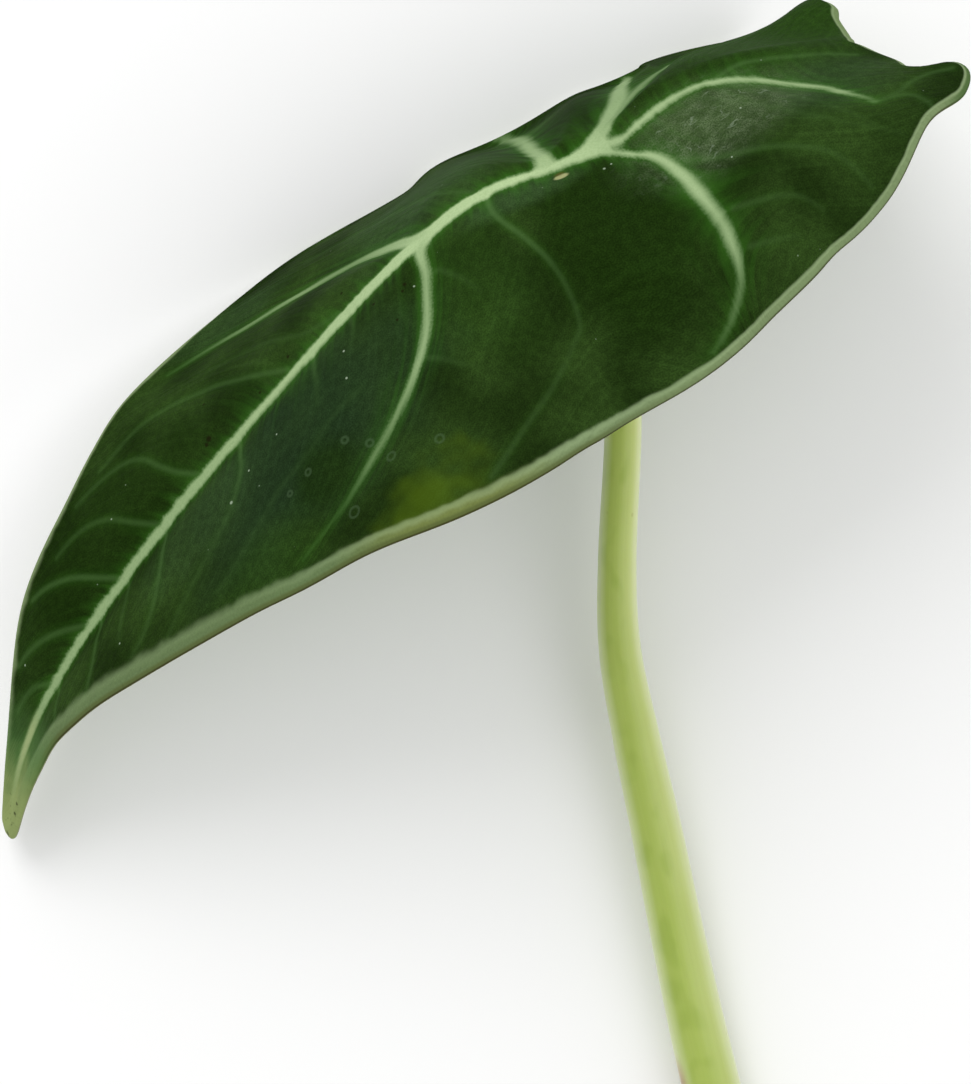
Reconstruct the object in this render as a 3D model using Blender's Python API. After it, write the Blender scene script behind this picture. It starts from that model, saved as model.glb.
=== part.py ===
"""An alocasia leaf, cut and lying down: its ribbed blade and its stalk.

The blade is drawn flat first. There u runs along the midrib, from the stalk's
junction toward the tip, and v runs across it, positive in the near half. The
flat blade is then bent along its spine, each half droops by its own angles,
swells lift it in places, and the veins lie in valleys with ribs under them.

Design lengths are millimetres and angles are degrees. Finished meshes are
metres, +Z up, with the leaf lying on the plane z = 0.
"""
import math

import bmesh
import bpy
import numpy as np
from mathutils import Vector
from mathutils.geometry import delaunay_2d_cdt

MM = 0.001

# Half of the flat outline, from the notch at the back round to the tip: (u, v)
HALF_OUTLINE = [
    (-46, 0), (-50, 6), (-53.5, 11.5), (-58, 15.5), (-56, 22), (-49, 27.5), (-38, 36.5),
    (-20, 40.5), (0, 41), (25, 44.8), (50, 43.3), (75, 31.5), (98, 21.5), (118, 13.5),
    (133, 7.0), (142, 4.5), (149, 2.9), (152, 0),
]
LEAST_HALF_WIDTH = 4.0

# How far back the far lobe reaches past the notch, as a share of the near lobe,
# and the width of the far half along it, as a share of the near half: (u, share)
FAR_LOBE_SHARE = 0.56
FAR_WIDTH_SHARE = [(-60, 1.03), (-25, 1.03), (5, 1.0), (45, 0.985), (90, 1.0), (155, 1.0)]

# Slope of the spine along it: (u, degrees above level), and how far it is traced
SPINE = [
    (-60, 36), (-46, 22), (-36, 23), (-27, 15.5), (-18, -4.5), (-9, -11), (-2, -15),
    (8, 5), (30, -17), (60, -31.5), (90, -35.5), (120, -44), (152, -71),
]
SPINE_START = -70
SPINE_END = 160

# Droop of each half: (u, degrees beside the spine, further degrees halfway out)
NEAR_DROOP = [
    (-60, 0, 0), (-40, 13.5, 4), (-20, 7, 8), (0, 13, 10), (30, 8, 10),
    (60, -3.5, 10), (90, -6, 10), (120, -14, 10), (152, -2, 6),
]
FAR_DROOP = [
    (-60, 10, 12), (-40, 18.5, 10), (-20, 24, 8), (0, 20, 8), (30, 24, 8),
    (60, 13, 8), (90, -9, 8), (120, -17, 8), (152, 12, 4),
]

# Swells of the blade: (u, v, radius, height)
SWELLS = [
    (-52, -20, 10, 6),
    (-61, 16, 7, 5),
    (-43, 26, 18, 13),
    (4, 5, 28, 5),
]

# Veins: (route, half width at start and end, valley depth, valley reach, rib height)
VEINS = {
    "midrib": (
        [(0, 0), (40, 0.3), (90, -0.3), (146, 0)],
        (1.7, 0.6), (3.2, 0.5), (4.2, 3.5), (3.0, 0.8),
    ),
    "near_side_bold": (
        [(0, 0), (-4, 5), (-6.5, 11), (-7.8, 21), (-8.8, 28), (-6.5, 35), (-1, 39)],
        (1.5, 0.7), (2.2, 0.5), (5.0, 4.0), (2.2, 0.6),
    ),
    "near_lobe": (
        [(0, 0), (-10, -1.5), (-18, 0), (-26, 2), (-34, 6.5), (-40, 13), (-45, 21)],
        (1.4, 0.5), (1.8, 0.5), (5.0, 4.0), (2.0, 0.5),
    ),
    "far_lobe": (
        [(0, 0), (-5, -6), (-11, -15), (-20, -24), (-34, -28), (-45, -26)],
        (1.4, 0.5), (1.8, 0.4), (5.0, 4.0), (2.0, 0.5),
    ),
    "far_side_bold": (
        [(0, 0), (-3, -7), (-6, -15), (-10, -27), (-11, -37)],
        (1.5, 0.7), (2.0, 0.5), (5.0, 4.0), (2.2, 0.6),
    ),
    "far_side_forward": (
        [(3, 0), (5, -8), (5.5, -18), (6, -30), (9, -40)],
        (1.1, 0.5), (1.6, 0.5), (4.5, 4.0), (1.6, 0.5),
    ),
    "near_side_mid": (
        [(30, 0), (31, 5), (34, 10.5), (40, 16.5), (48, 21.8), (57, 25.4), (67, 27.8), (75, 29)],
        (1.1, 0.5), (1.5, 0.4), (4.5, 3.5), (1.5, 0.4),
    ),
    "far_side_mid": (
        [(29, 0), (32, -7), (37, -12.5), (45, -18.5), (55, -23), (66, -26.5), (76, -28.5)],
        (1.1, 0.5), (1.5, 0.4), (4.5, 3.5), (1.5, 0.4),
    ),
}
RIB_SPREAD = 1.6

# Blade thickness, and its rolled rim: where its crest lies, and how far it stands out
THICK = 1.0
RIM_WIDE = 2.4
RIM_CREST_SHARE = 0.45
RIM_THICK = 1.7
RIM_EDGE_THICK = 1.0
RIM_OUTSET = 0.6

# Swelling under the blade that the stalk meets
BOSS_RADIUS = 4.0
BOSS_FOOT_RADIUS = 6.2
BOSS_DEPTH = 7.6
BOSS_POINTS = 12

# How the leaf lies: turned in plan, tipped onto its far margin, rolled forward
HEADING = 18.8
TIP_OVER = 43.0
ROLL = 10.0
JUNCTION_AT = (17.93, 85.53, 40.7)

# Stalk: (x, y, z) of its centre line from the junction, and its diameter there
STALK = [
    ((5.2, -26.0, -17.0), 5.8),
    ((5.6, -41.2, -22.5), 5.8),
    ((4.8, -61.5, -27.0), 6.1),
    ((5.3, -75.6, -29.5), 6.7),
    ((8.0, -89.8, -31.5), 7.5),
    ((11.1, -103.9, -33.0), 8.1),
    ((14.0, -118.2, -34.1), 8.5),
    ((17.0, -132.3, -35.1), 8.9),
    ((19.7, -143.8, -35.8), 9.2),
    ((25.5, -168.0, -36.1), 9.5),
    ((32.0, -196.0, -36.1), 9.8),
]
STALK_TOP_DIAMETER = 6.6
STALK_SIDES = 18
STALK_RING_STEP = 5.0
STALK_SEAT_LENGTH = 3.0
GAP = 0.3

# Spacing of mesh points: along the edge and the veins, in the field, and between groups
EDGE_STEP = 3.2
VEIN_STEP = 3.2
FIELD_STEP = 4.2
FIELD_SPACING = 2.6
VEIN_SPACING = 1.0
CREST_SPACING = 0.9
RIM_SPACING = 1.2
LEAST_SPACING = 0.55
FIELD_SIZE = ((-60, 152), (-48, 49))

# Steps of the curves and slopes that the shape is worked out from
CURVE_SAMPLES = 24
WIDTH_STEP = 1.0
ROUTE_STEP = 1.5
SLOPE_STEP = 0.5

SHARP_ANGLE = 50
BLADE_COLOUR = (0.030, 0.062, 0.018, 1.0)
BLADE_ROUGHNESS = 0.55
STALK_COLOUR = (0.392, 0.468, 0.150, 1.0)
STALK_ROUGHNESS = 0.45


def smooth(table, column, x):
    """Value of one column of a table at x, by a cubic through its rows."""
    stations = np.array([row[0] for row in table], float)
    values = np.array([row[column] for row in table], float)
    slopes = np.gradient(values, stations)
    x = np.clip(x, stations[0], stations[-1])
    i = np.clip(np.searchsorted(stations, x) - 1, 0, len(stations) - 2)
    step = stations[i + 1] - stations[i]
    t = (x - stations[i]) / step
    return (
        values[i] * (1 + 2 * t) * (1 - t) ** 2
        + slopes[i] * step * t * (1 - t) ** 2
        + values[i + 1] * t * t * (3 - 2 * t)
        + slopes[i + 1] * step * t * t * (t - 1)
    )


def through(points, step):
    """Evenly spaced points on a smooth curve through the given ones."""
    p = np.array(points, float)
    ends = np.vstack([2 * p[0] - p[1], p, 2 * p[-1] - p[-2]])
    t = np.linspace(0, 1, CURVE_SAMPLES, endpoint=False)[:, None]
    stretches = []
    for a, b, c, d in zip(ends, ends[1:], ends[2:], ends[3:]):
        linear = (c - a) * t
        square = (2 * a - 5 * b + 4 * c - d) * t**2
        cube = (3 * b - a - 3 * c + d) * t**3
        stretches.append(b + (linear + square + cube) / 2)
    return spaced(np.vstack(stretches + [p[-1:]]), step)


def spaced(path, step):
    """The path cut into equal stretches of about the step."""
    run = np.concatenate([[0], np.cumsum(np.linalg.norm(np.diff(path, axis=0), axis=1))])
    count = max(2, int(round(run[-1] / step)) + 1)
    at = np.linspace(0, run[-1], count)
    return np.stack([np.interp(at, run, path[:, k]) for k in range(path.shape[1])], axis=-1)


def outline():
    """Closed flat outline, without its first point again: near half, tip, far half."""
    near = through(HALF_OUTLINE, EDGE_STEP)
    far = near[-2:0:-1] * (1, -1)
    notch = HALF_OUTLINE[0][0]
    past = np.minimum(far[:, 0] - notch, 0)
    far[:, 0] -= past * (1 - FAR_LOBE_SHARE)
    far[:, 1] *= smooth(FAR_WIDTH_SHARE, 1, far[:, 0])
    return np.vstack([near, far])


def half_width(u):
    """Half width of the flat blade at u."""
    near = through(HALF_OUTLINE, WIDTH_STEP)
    outer = near[np.argmin(near[:, 0]):]
    return np.maximum(np.interp(u, outer[:, 0], outer[:, 1]), LEAST_HALF_WIDTH)


def spine_at(u):
    """Place along, height and slope in radians of the bent spine at u."""
    s = np.arange(SPINE_START, SPINE_END + 1, dtype=float)
    slope = np.radians(smooth(SPINE, 1, s))
    places = []
    for rate in (np.cos(slope), np.sin(slope)):
        run = np.concatenate([[0], np.cumsum((rate[1:] + rate[:-1]) / 2)])
        places.append(np.interp(u, s, run - run[-SPINE_START]))
    return places[0], places[1], np.interp(u, s, slope)


def bent(u, v):
    """Bent blade without its veins: places in the leaf's own axes."""
    along, height, slope = spine_at(u)
    reach = np.abs(v)
    droop = np.where(v >= 0, smooth(NEAR_DROOP, 1, u), smooth(FAR_DROOP, 1, u))
    further = np.where(v >= 0, smooth(NEAR_DROOP, 2, u), smooth(FAR_DROOP, 2, u))
    half_turn = np.radians(further) * reach / half_width(u)
    mean = np.radians(droop) + half_turn
    chord = reach * np.sinc(half_turn / math.pi)
    down = chord * np.sin(mean)
    x = along + np.sin(slope) * down
    y = np.sign(v) * chord * np.cos(mean)
    z = height - np.cos(slope) * down
    for u0, v0, radius, lift in SWELLS:
        z = z + lift * np.exp(-((u - u0) ** 2 + (v - v0) ** 2) / radius**2)
    return np.stack([x, y, z], axis=-1)


def out_of_face(u, v):
    """Unit directions out of the bent blade's upper face."""
    along = bent(u + SLOPE_STEP, v) - bent(u - SLOPE_STEP, v)
    across = bent(u, v + SLOPE_STEP) - bent(u, v - SLOPE_STEP)
    n = np.cross(along, across)
    return n / np.linalg.norm(n, axis=-1, keepdims=True)


def nearest(u, v, route):
    """Distance from each flat point to a route, and how far along it that is, 0 to 1."""
    best = np.full(u.shape, np.inf)
    part = np.zeros(u.shape)
    last = len(route) - 1
    for k, (a, b) in enumerate(zip(route, route[1:])):
        e = b - a
        t = np.clip(((u - a[0]) * e[0] + (v - a[1]) * e[1]) / (e @ e), 0, 1)
        d = np.hypot(u - a[0] - t * e[0], v - a[1] - t * e[1])
        closer = d < best
        best = np.where(closer, d, best)
        part = np.where(closer, (k + t) / last, part)
    return best, part


def blend(pair, part):
    """Value between the start's and the end's."""
    return pair[0] + (pair[1] - pair[0]) * part


def valleys_and_ribs(u, v):
    """Depth of the valleys that hold the veins, and height of the ribs below."""
    valley = np.zeros(u.shape)
    rib = np.zeros(u.shape)
    for route, wide, depth, reach, height in VEINS.values():
        d, part = nearest(u, v, through(route, ROUTE_STEP))
        dip = blend(depth, part) * np.exp(-((d / blend(reach, part)) ** 2))
        ridge = blend(height, part) * np.clip(1 - d / (RIB_SPREAD * blend(wide, part)), 0, 1)
        valley = np.maximum(valley, dip)
        rib = np.maximum(rib, ridge)
    return valley, rib


def faces_of_blade(u, v):
    """Upper and lower surface places of flat points, with rim and boss, in the leaf's axes."""
    edge = outline()
    inward, _ = nearest(u, v, np.vstack([edge, edge[:1]]))
    share = np.clip(inward / RIM_WIDE, 0, 1)
    full = np.interp(share, [0, RIM_CREST_SHARE, 1], [RIM_EDGE_THICK, RIM_THICK, THICK])
    valley, rib = valleys_and_ribs(u, v)
    quiet = np.clip(inward / (2 * RIM_WIDE), 0, 1)
    base = bent(u, v)
    n = out_of_face(u, v)
    up = base + n * (full / 2 - valley * quiet)[..., None]
    low = base - n * (full / 2 + (valley + rib) * quiet)[..., None]
    seat, down = boss_seat()
    centre = np.hypot(u, v)
    on_boss = np.clip((BOSS_FOOT_RADIUS - centre) / (BOSS_FOOT_RADIUS - BOSS_RADIUS), 0, 1)
    to_plane = (seat - low) @ down
    low = low + (np.maximum(to_plane, 0) * on_boss)[..., None] * down
    return up, low


def boss_seat():
    """Centre of the boss's flat underside, and the direction out of it."""
    zero = np.zeros(1)
    down = -out_of_face(zero, zero)[0]
    return bent(zero, zero)[0] + down * BOSS_DEPTH, down


def lie(p):
    """Leaf axes to where the leaf lies, in millimetres."""
    heading, tip, roll = (math.radians(a) for a in (HEADING, TIP_OVER, ROLL))
    x, y, z = -p[..., 0], p[..., 2], p[..., 1]
    x, z = x * math.cos(roll) + z * math.sin(roll), z * math.cos(roll) - x * math.sin(roll)
    y, z = y * math.cos(tip) - z * math.sin(tip), y * math.sin(tip) + z * math.cos(tip)
    x, y = x * math.cos(heading) - y * math.sin(heading), x * math.sin(heading) + y * math.cos(heading)
    return np.stack([x, y, z], axis=-1) + np.array(JUNCTION_AT)


def sideways(path, tangent):
    """Unit directions a quarter turn to the left of a flat path's tangents."""
    side = np.stack([-tangent[:, 1], tangent[:, 0]], axis=-1)
    return side / np.linalg.norm(side, axis=1, keepdims=True)


def outward_of(edge):
    """Unit directions out of the closed outline, which runs clockwise in u and v."""
    return sideways(edge, np.roll(edge, -1, axis=0) - np.roll(edge, 1, axis=0))


def flat_points():
    """Flat mesh points: the outline first, then boss, rim, veins, ribs' feet and the field."""
    edge = outline()
    groups = [(np.zeros((1, 2)), LEAST_SPACING)]
    turn = 2 * math.pi * np.arange(BOSS_POINTS) / BOSS_POINTS
    circle = np.stack([np.cos(turn), np.sin(turn)], axis=-1)
    groups.append((BOSS_RADIUS * circle, LEAST_SPACING))
    groups.append((BOSS_FOOT_RADIUS * circle, LEAST_SPACING))
    out = outward_of(edge)
    groups.append((edge - out * RIM_WIDE * RIM_CREST_SHARE, CREST_SPACING))
    groups.append((edge - out * RIM_WIDE, RIM_SPACING))
    for route, wide, _, _, _ in VEINS.values():
        path = through(route, VEIN_STEP)
        across = sideways(path, np.gradient(path, axis=0))
        foot = RIB_SPREAD * blend(wide, np.linspace(0, 1, len(path)))[:, None]
        groups.append((path, VEIN_SPACING))
        groups.append((path + across * foot, VEIN_SPACING))
        groups.append((path - across * foot, VEIN_SPACING))
    groups.append((field_grid(), FIELD_SPACING))
    kept = list(edge)
    for group, spacing in groups:
        for point in group:
            if inside(point, edge) and clear(point, kept, spacing):
                kept.append(point)
    return np.array(kept), len(edge)


def field_grid():
    """Staggered grid of points over the whole blade."""
    (u_first, u_last), (v_first, v_last) = FIELD_SIZE
    grid = []
    for k, v in enumerate(np.arange(v_first, v_last, FIELD_STEP * math.sqrt(3) / 2)):
        shift = FIELD_STEP / 2 if k % 2 else 0
        grid.extend((u, v) for u in np.arange(u_first + shift, u_last, FIELD_STEP))
    return np.array(grid)


def inside(point, edge):
    """Whether a flat point lies inside the outline."""
    ahead = np.roll(edge, -1, axis=0)
    crosses = (edge[:, 1] > point[1]) != (ahead[:, 1] > point[1])
    a, b = edge[crosses], ahead[crosses]
    at = a[:, 0] + (point[1] - a[:, 1]) * (b[:, 0] - a[:, 0]) / (b[:, 1] - a[:, 1])
    return int((point[0] < at).sum()) % 2 == 1


def clear(point, kept, spacing):
    """Whether a point keeps its spacing from all kept ones."""
    return np.min(np.hypot(*(np.array(kept) - point).T)) > spacing


def solid(name, points, faces, colour, roughness):
    """A mesh object in metres, pressed flat where it meets the surface, with its own material."""
    points[:, 2] = np.maximum(points[:, 2], 0)
    mesh = bpy.data.meshes.new(name)
    mesh.from_pydata([Vector(p) * MM for p in points], [], faces)
    bm = bmesh.new()
    bm.from_mesh(mesh)
    bmesh.ops.recalc_face_normals(bm, faces=bm.faces)
    bm.to_mesh(mesh)
    bm.free()
    mesh.shade_smooth()
    mesh.set_sharp_from_angle(angle=math.radians(SHARP_ANGLE))
    material = bpy.data.materials.new(name)
    material.use_nodes = True
    shader = material.node_tree.nodes["Principled BSDF"]
    shader.inputs["Base Color"].default_value = colour
    shader.inputs["Roughness"].default_value = roughness
    shader.inputs["Metallic"].default_value = 0.0
    mesh.materials.append(material)
    piece = bpy.data.objects.new(name, mesh)
    bpy.context.scene.collection.objects.link(piece)
    return piece


def blade():
    """The blade: two faces split alike, joined round the rim."""
    flat, border = flat_points()
    found = delaunay_2d_cdt([Vector(p) for p in flat], [], [list(range(border))], 1, 1e-5)
    flat = np.array([tuple(p) for p in found[0]])
    triangles = found[2]
    up, low = faces_of_blade(flat[:, 0], flat[:, 1])
    brim_at = flat[:border] + outward_of(flat[:border]) * RIM_OUTSET
    brim = bent(brim_at[:, 0], brim_at[:, 1])
    count = len(flat)
    faces = [(a, b, c) for a, b, c in triangles]
    faces += [(c + count, b + count, a + count) for a, b, c in triangles]
    for k in range(border):
        j = (k + 1) % border
        brim_k, brim_j = 2 * count + k, 2 * count + j
        faces.append((j, k, brim_k))
        faces.append((j, brim_k, brim_j))
        faces.append((brim_j, brim_k, count + k))
        faces.append((brim_j, count + k, count + j))
    return solid("leaf_blade", lie(np.vstack([up, low, brim])), faces, BLADE_COLOUR, BLADE_ROUGHNESS)


def stalk_path():
    """Centre line and diameters of the stalk, from its seat under the blade to its cut end."""
    seat, down = boss_seat()
    top = lie(seat)
    ahead = lie(seat + down) - top
    first = top + ahead * GAP
    second = top + ahead * (GAP + STALK_SEAT_LENGTH)
    junction = np.array(JUNCTION_AT)
    rows = [(*first, STALK_TOP_DIAMETER), (*second, STALK_TOP_DIAMETER)]
    rows += [(*(junction + place), diameter) for place, diameter in STALK]
    return through(rows, STALK_RING_STEP), ahead


def stalk():
    """The stalk: a tapering round tube of rings, closed flat at both ends."""
    path, ahead = stalk_path()
    centre, radius = path[:, :3], path[:, 3] / 2
    along = np.gradient(centre, axis=0)
    along[0] = ahead
    along /= np.linalg.norm(along, axis=1, keepdims=True)
    turn = 2 * math.pi * np.arange(STALK_SIDES) / STALK_SIDES
    side = np.cross(along[0], (0, 0, 1))
    rings = []
    for c, t, r in zip(centre, along, radius):
        side = side - t * (side @ t)
        side /= np.linalg.norm(side)
        rings.append(c + r * (np.cos(turn)[:, None] * side + np.sin(turn)[:, None] * np.cross(t, side)))
    points = np.vstack(rings + [centre[:1], centre[-1:]])
    top_centre, end_centre = len(points) - 2, len(points) - 1
    last = (len(rings) - 1) * STALK_SIDES
    faces = []
    for k in range(STALK_SIDES):
        j = (k + 1) % STALK_SIDES
        for row in range(0, last, STALK_SIDES):
            a, b = row + k, row + j
            faces.append((a, b, b + STALK_SIDES))
            faces.append((a, b + STALK_SIDES, a + STALK_SIDES))
        faces.append((top_centre, j, k))
        faces.append((end_centre, last + k, last + j))
    return solid("leaf_stalk", points, faces, STALK_COLOUR, STALK_ROUGHNESS)


def main():
    """Clears the scene and builds the leaf."""
    for thing in list(bpy.data.objects):
        bpy.data.objects.remove(thing, do_unlink=True)
    blade()
    stalk()


main()
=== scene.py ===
import logging
import math
from dataclasses import dataclass
from enum import Enum
from typing import Sequence

import bmesh
import bpy
import numpy as np
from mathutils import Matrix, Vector
from mathutils.geometry import delaunay_2d_cdt


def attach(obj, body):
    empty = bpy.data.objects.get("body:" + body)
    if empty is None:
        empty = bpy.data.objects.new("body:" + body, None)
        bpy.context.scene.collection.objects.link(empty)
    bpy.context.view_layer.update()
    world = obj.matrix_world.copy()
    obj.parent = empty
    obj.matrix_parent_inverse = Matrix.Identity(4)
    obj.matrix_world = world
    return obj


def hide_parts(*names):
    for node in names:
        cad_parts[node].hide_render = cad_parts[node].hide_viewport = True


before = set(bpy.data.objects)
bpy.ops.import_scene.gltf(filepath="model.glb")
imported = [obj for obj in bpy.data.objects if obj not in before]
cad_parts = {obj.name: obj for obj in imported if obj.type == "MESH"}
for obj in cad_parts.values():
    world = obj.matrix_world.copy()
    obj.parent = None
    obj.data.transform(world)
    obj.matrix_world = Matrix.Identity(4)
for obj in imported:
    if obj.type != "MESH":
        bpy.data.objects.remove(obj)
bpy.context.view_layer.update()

LOG = logging.getLogger("alocasia_leaf")

MM = 0.001
BODY = "root"

Colour = tuple[float, float, float, float]
Pair = tuple[float, float]
Place = tuple[float, float, float]
Table = Sequence[tuple[float, ...]]

# Points that through() puts between two given ones before it spaces them
CURVE_SAMPLES = 24


class Face(Enum):
    """The two faces of the blade."""

    UPPER = 1
    LOWER = -1


def from_srgb(red: float, green: float, blue: float) -> Colour:
    """Linear opaque colour of a shade given as it is seen, 0 to 255."""
    shade = [channel / 255 for channel in (red, green, blue)]
    linear = [c / 12.92 if c <= 0.04045 else ((c + 0.055) / 1.055) ** 2.4 for c in shade]
    return (linear[0], linear[1], linear[2], 1.0)


def smooth(table: Table, column: int, x: np.ndarray) -> np.ndarray:
    """Values of one column of a table at x, by a cubic through its rows.

    Args:
        table: rows that start with their station.
        column: which value of each row is read.
        x: where it is read.

    Returns:
        The value at each x, held level past the table's ends.
    """
    stations = np.array([row[0] for row in table], float)
    values = np.array([row[column] for row in table], float)
    slopes = np.gradient(values, stations)
    x = np.clip(x, stations[0], stations[-1])
    i = np.clip(np.searchsorted(stations, x) - 1, 0, len(stations) - 2)
    step = stations[i + 1] - stations[i]
    t = (x - stations[i]) / step
    return (
        values[i] * (1 + 2 * t) * (1 - t) ** 2
        + slopes[i] * step * t * (1 - t) ** 2
        + values[i + 1] * t * t * (3 - 2 * t)
        + slopes[i + 1] * step * t * t * (t - 1)
    )


def spaced(path: np.ndarray, step: float) -> np.ndarray:
    """The path cut into equal stretches of about the step."""
    run = np.concatenate([[0], np.cumsum(np.linalg.norm(np.diff(path, axis=0), axis=1))])
    count = max(2, int(round(run[-1] / step)) + 1)
    at = np.linspace(0, run[-1], count)
    return np.stack([np.interp(at, run, path[:, k]) for k in range(path.shape[1])], axis=-1)


def through(points: Table, step: float) -> np.ndarray:
    """Evenly spaced points on a smooth curve through the given ones.

    Args:
        points: the points that the curve passes.
        step: the spacing along it.

    Returns:
        One row for each point of the curve.
    """
    p = np.array(points, float)
    ends = np.vstack([2 * p[0] - p[1], p, 2 * p[-1] - p[-2]])
    t = np.linspace(0, 1, CURVE_SAMPLES, endpoint=False)[:, None]
    stretches = []
    for a, b, c, d in zip(ends, ends[1:], ends[2:], ends[3:]):
        linear = (c - a) * t
        square = (2 * a - 5 * b + 4 * c - d) * t**2
        cube = (3 * b - a - 3 * c + d) * t**3
        stretches.append(b + (linear + square + cube) / 2)
    return spaced(np.vstack(stretches + [p[-1:]]), step)


def outward(edge: np.ndarray) -> np.ndarray:
    """Unit directions out of a closed flat outline, at each of its points."""
    tangent = np.roll(edge, -1, axis=0) - np.roll(edge, 1, axis=0)
    out = np.stack([-tangent[:, 1], tangent[:, 0]], axis=-1)
    return out / np.linalg.norm(out, axis=1, keepdims=True)


def blend(pair: Pair, part: np.ndarray) -> np.ndarray:
    """Value between the start's and the end's."""
    return pair[0] + (pair[1] - pair[0]) * part


def ease(low: float, high: float, x: np.ndarray) -> np.ndarray:
    """Smooth step from 0 at low to 1 at high, which may be the smaller of the two."""
    t = np.clip((x - low) / (high - low), 0, 1)
    return t * t * (3 - 2 * t)


def nearest(points: np.ndarray, route: np.ndarray) -> tuple[np.ndarray, np.ndarray]:
    """How near flat points are to a route.

    Args:
        points: flat points, one a row.
        route: the corners of the route, with any further values after u and v.

    Returns:
        The distance of each point, and how far along the route that is, 0 to 1.
    """
    best = np.full(len(points), np.inf)
    part = np.zeros(len(points))
    last = len(route) - 1
    corners = np.asarray(route)[:, :2]
    for k, (a, b) in enumerate(zip(corners, corners[1:])):
        e = b - a
        rel = points - a
        t = np.clip((rel @ e) / (e @ e), 0, 1)
        d = np.hypot(*(rel - t[:, None] * e).T)
        closer = d < best
        best = np.where(closer, d, best)
        part = np.where(closer, (k + t) / last, part)
    return best, part


def read_at(rows: np.ndarray, column: int, part: np.ndarray) -> np.ndarray:
    """One column of a route's rows, at parts 0 to 1 of its length."""
    return np.interp(part * (len(rows) - 1), np.arange(len(rows)), rows[:, column])


def soft_least(values: np.ndarray, width: float) -> tuple[np.ndarray, np.ndarray]:
    """Least of several values, rounded off where two are alike.

    Args:
        values: one row for each source.
        width: how far the rounding reaches.

    Returns:
        The soft least at each place, and each source's share in it.
    """
    least = values.min(axis=0)
    weight = np.exp(-(values - least) / width)
    total = weight.sum(axis=0)
    return least - width * np.log(total), weight / total


def soft_most(values: np.ndarray, power: float = 5.0) -> np.ndarray:
    """Largest of several positive values, rounded off where two are alike."""
    return (np.maximum(values, 1e-9) ** power).sum(axis=0) ** (1 / power)


@dataclass(frozen=True)
class Vein:
    """A main vein, drawn on the flat leaf.

    Each row of its course gives u, v, the half width of its pale core, its
    paleness and how far its bright green band reaches. Each pair holds the
    value at the vein's start and at its end.
    """

    course: Table
    rib_half_width: Pair
    valley_depth: Pair
    valley_reach: Pair
    rib_height: Pair


@dataclass(frozen=True)
class SideVein:
    """A thin vein, drawn on the flat leaf, and how plainly it shows at its start and end."""

    route: Table
    paleness: Pair


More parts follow.
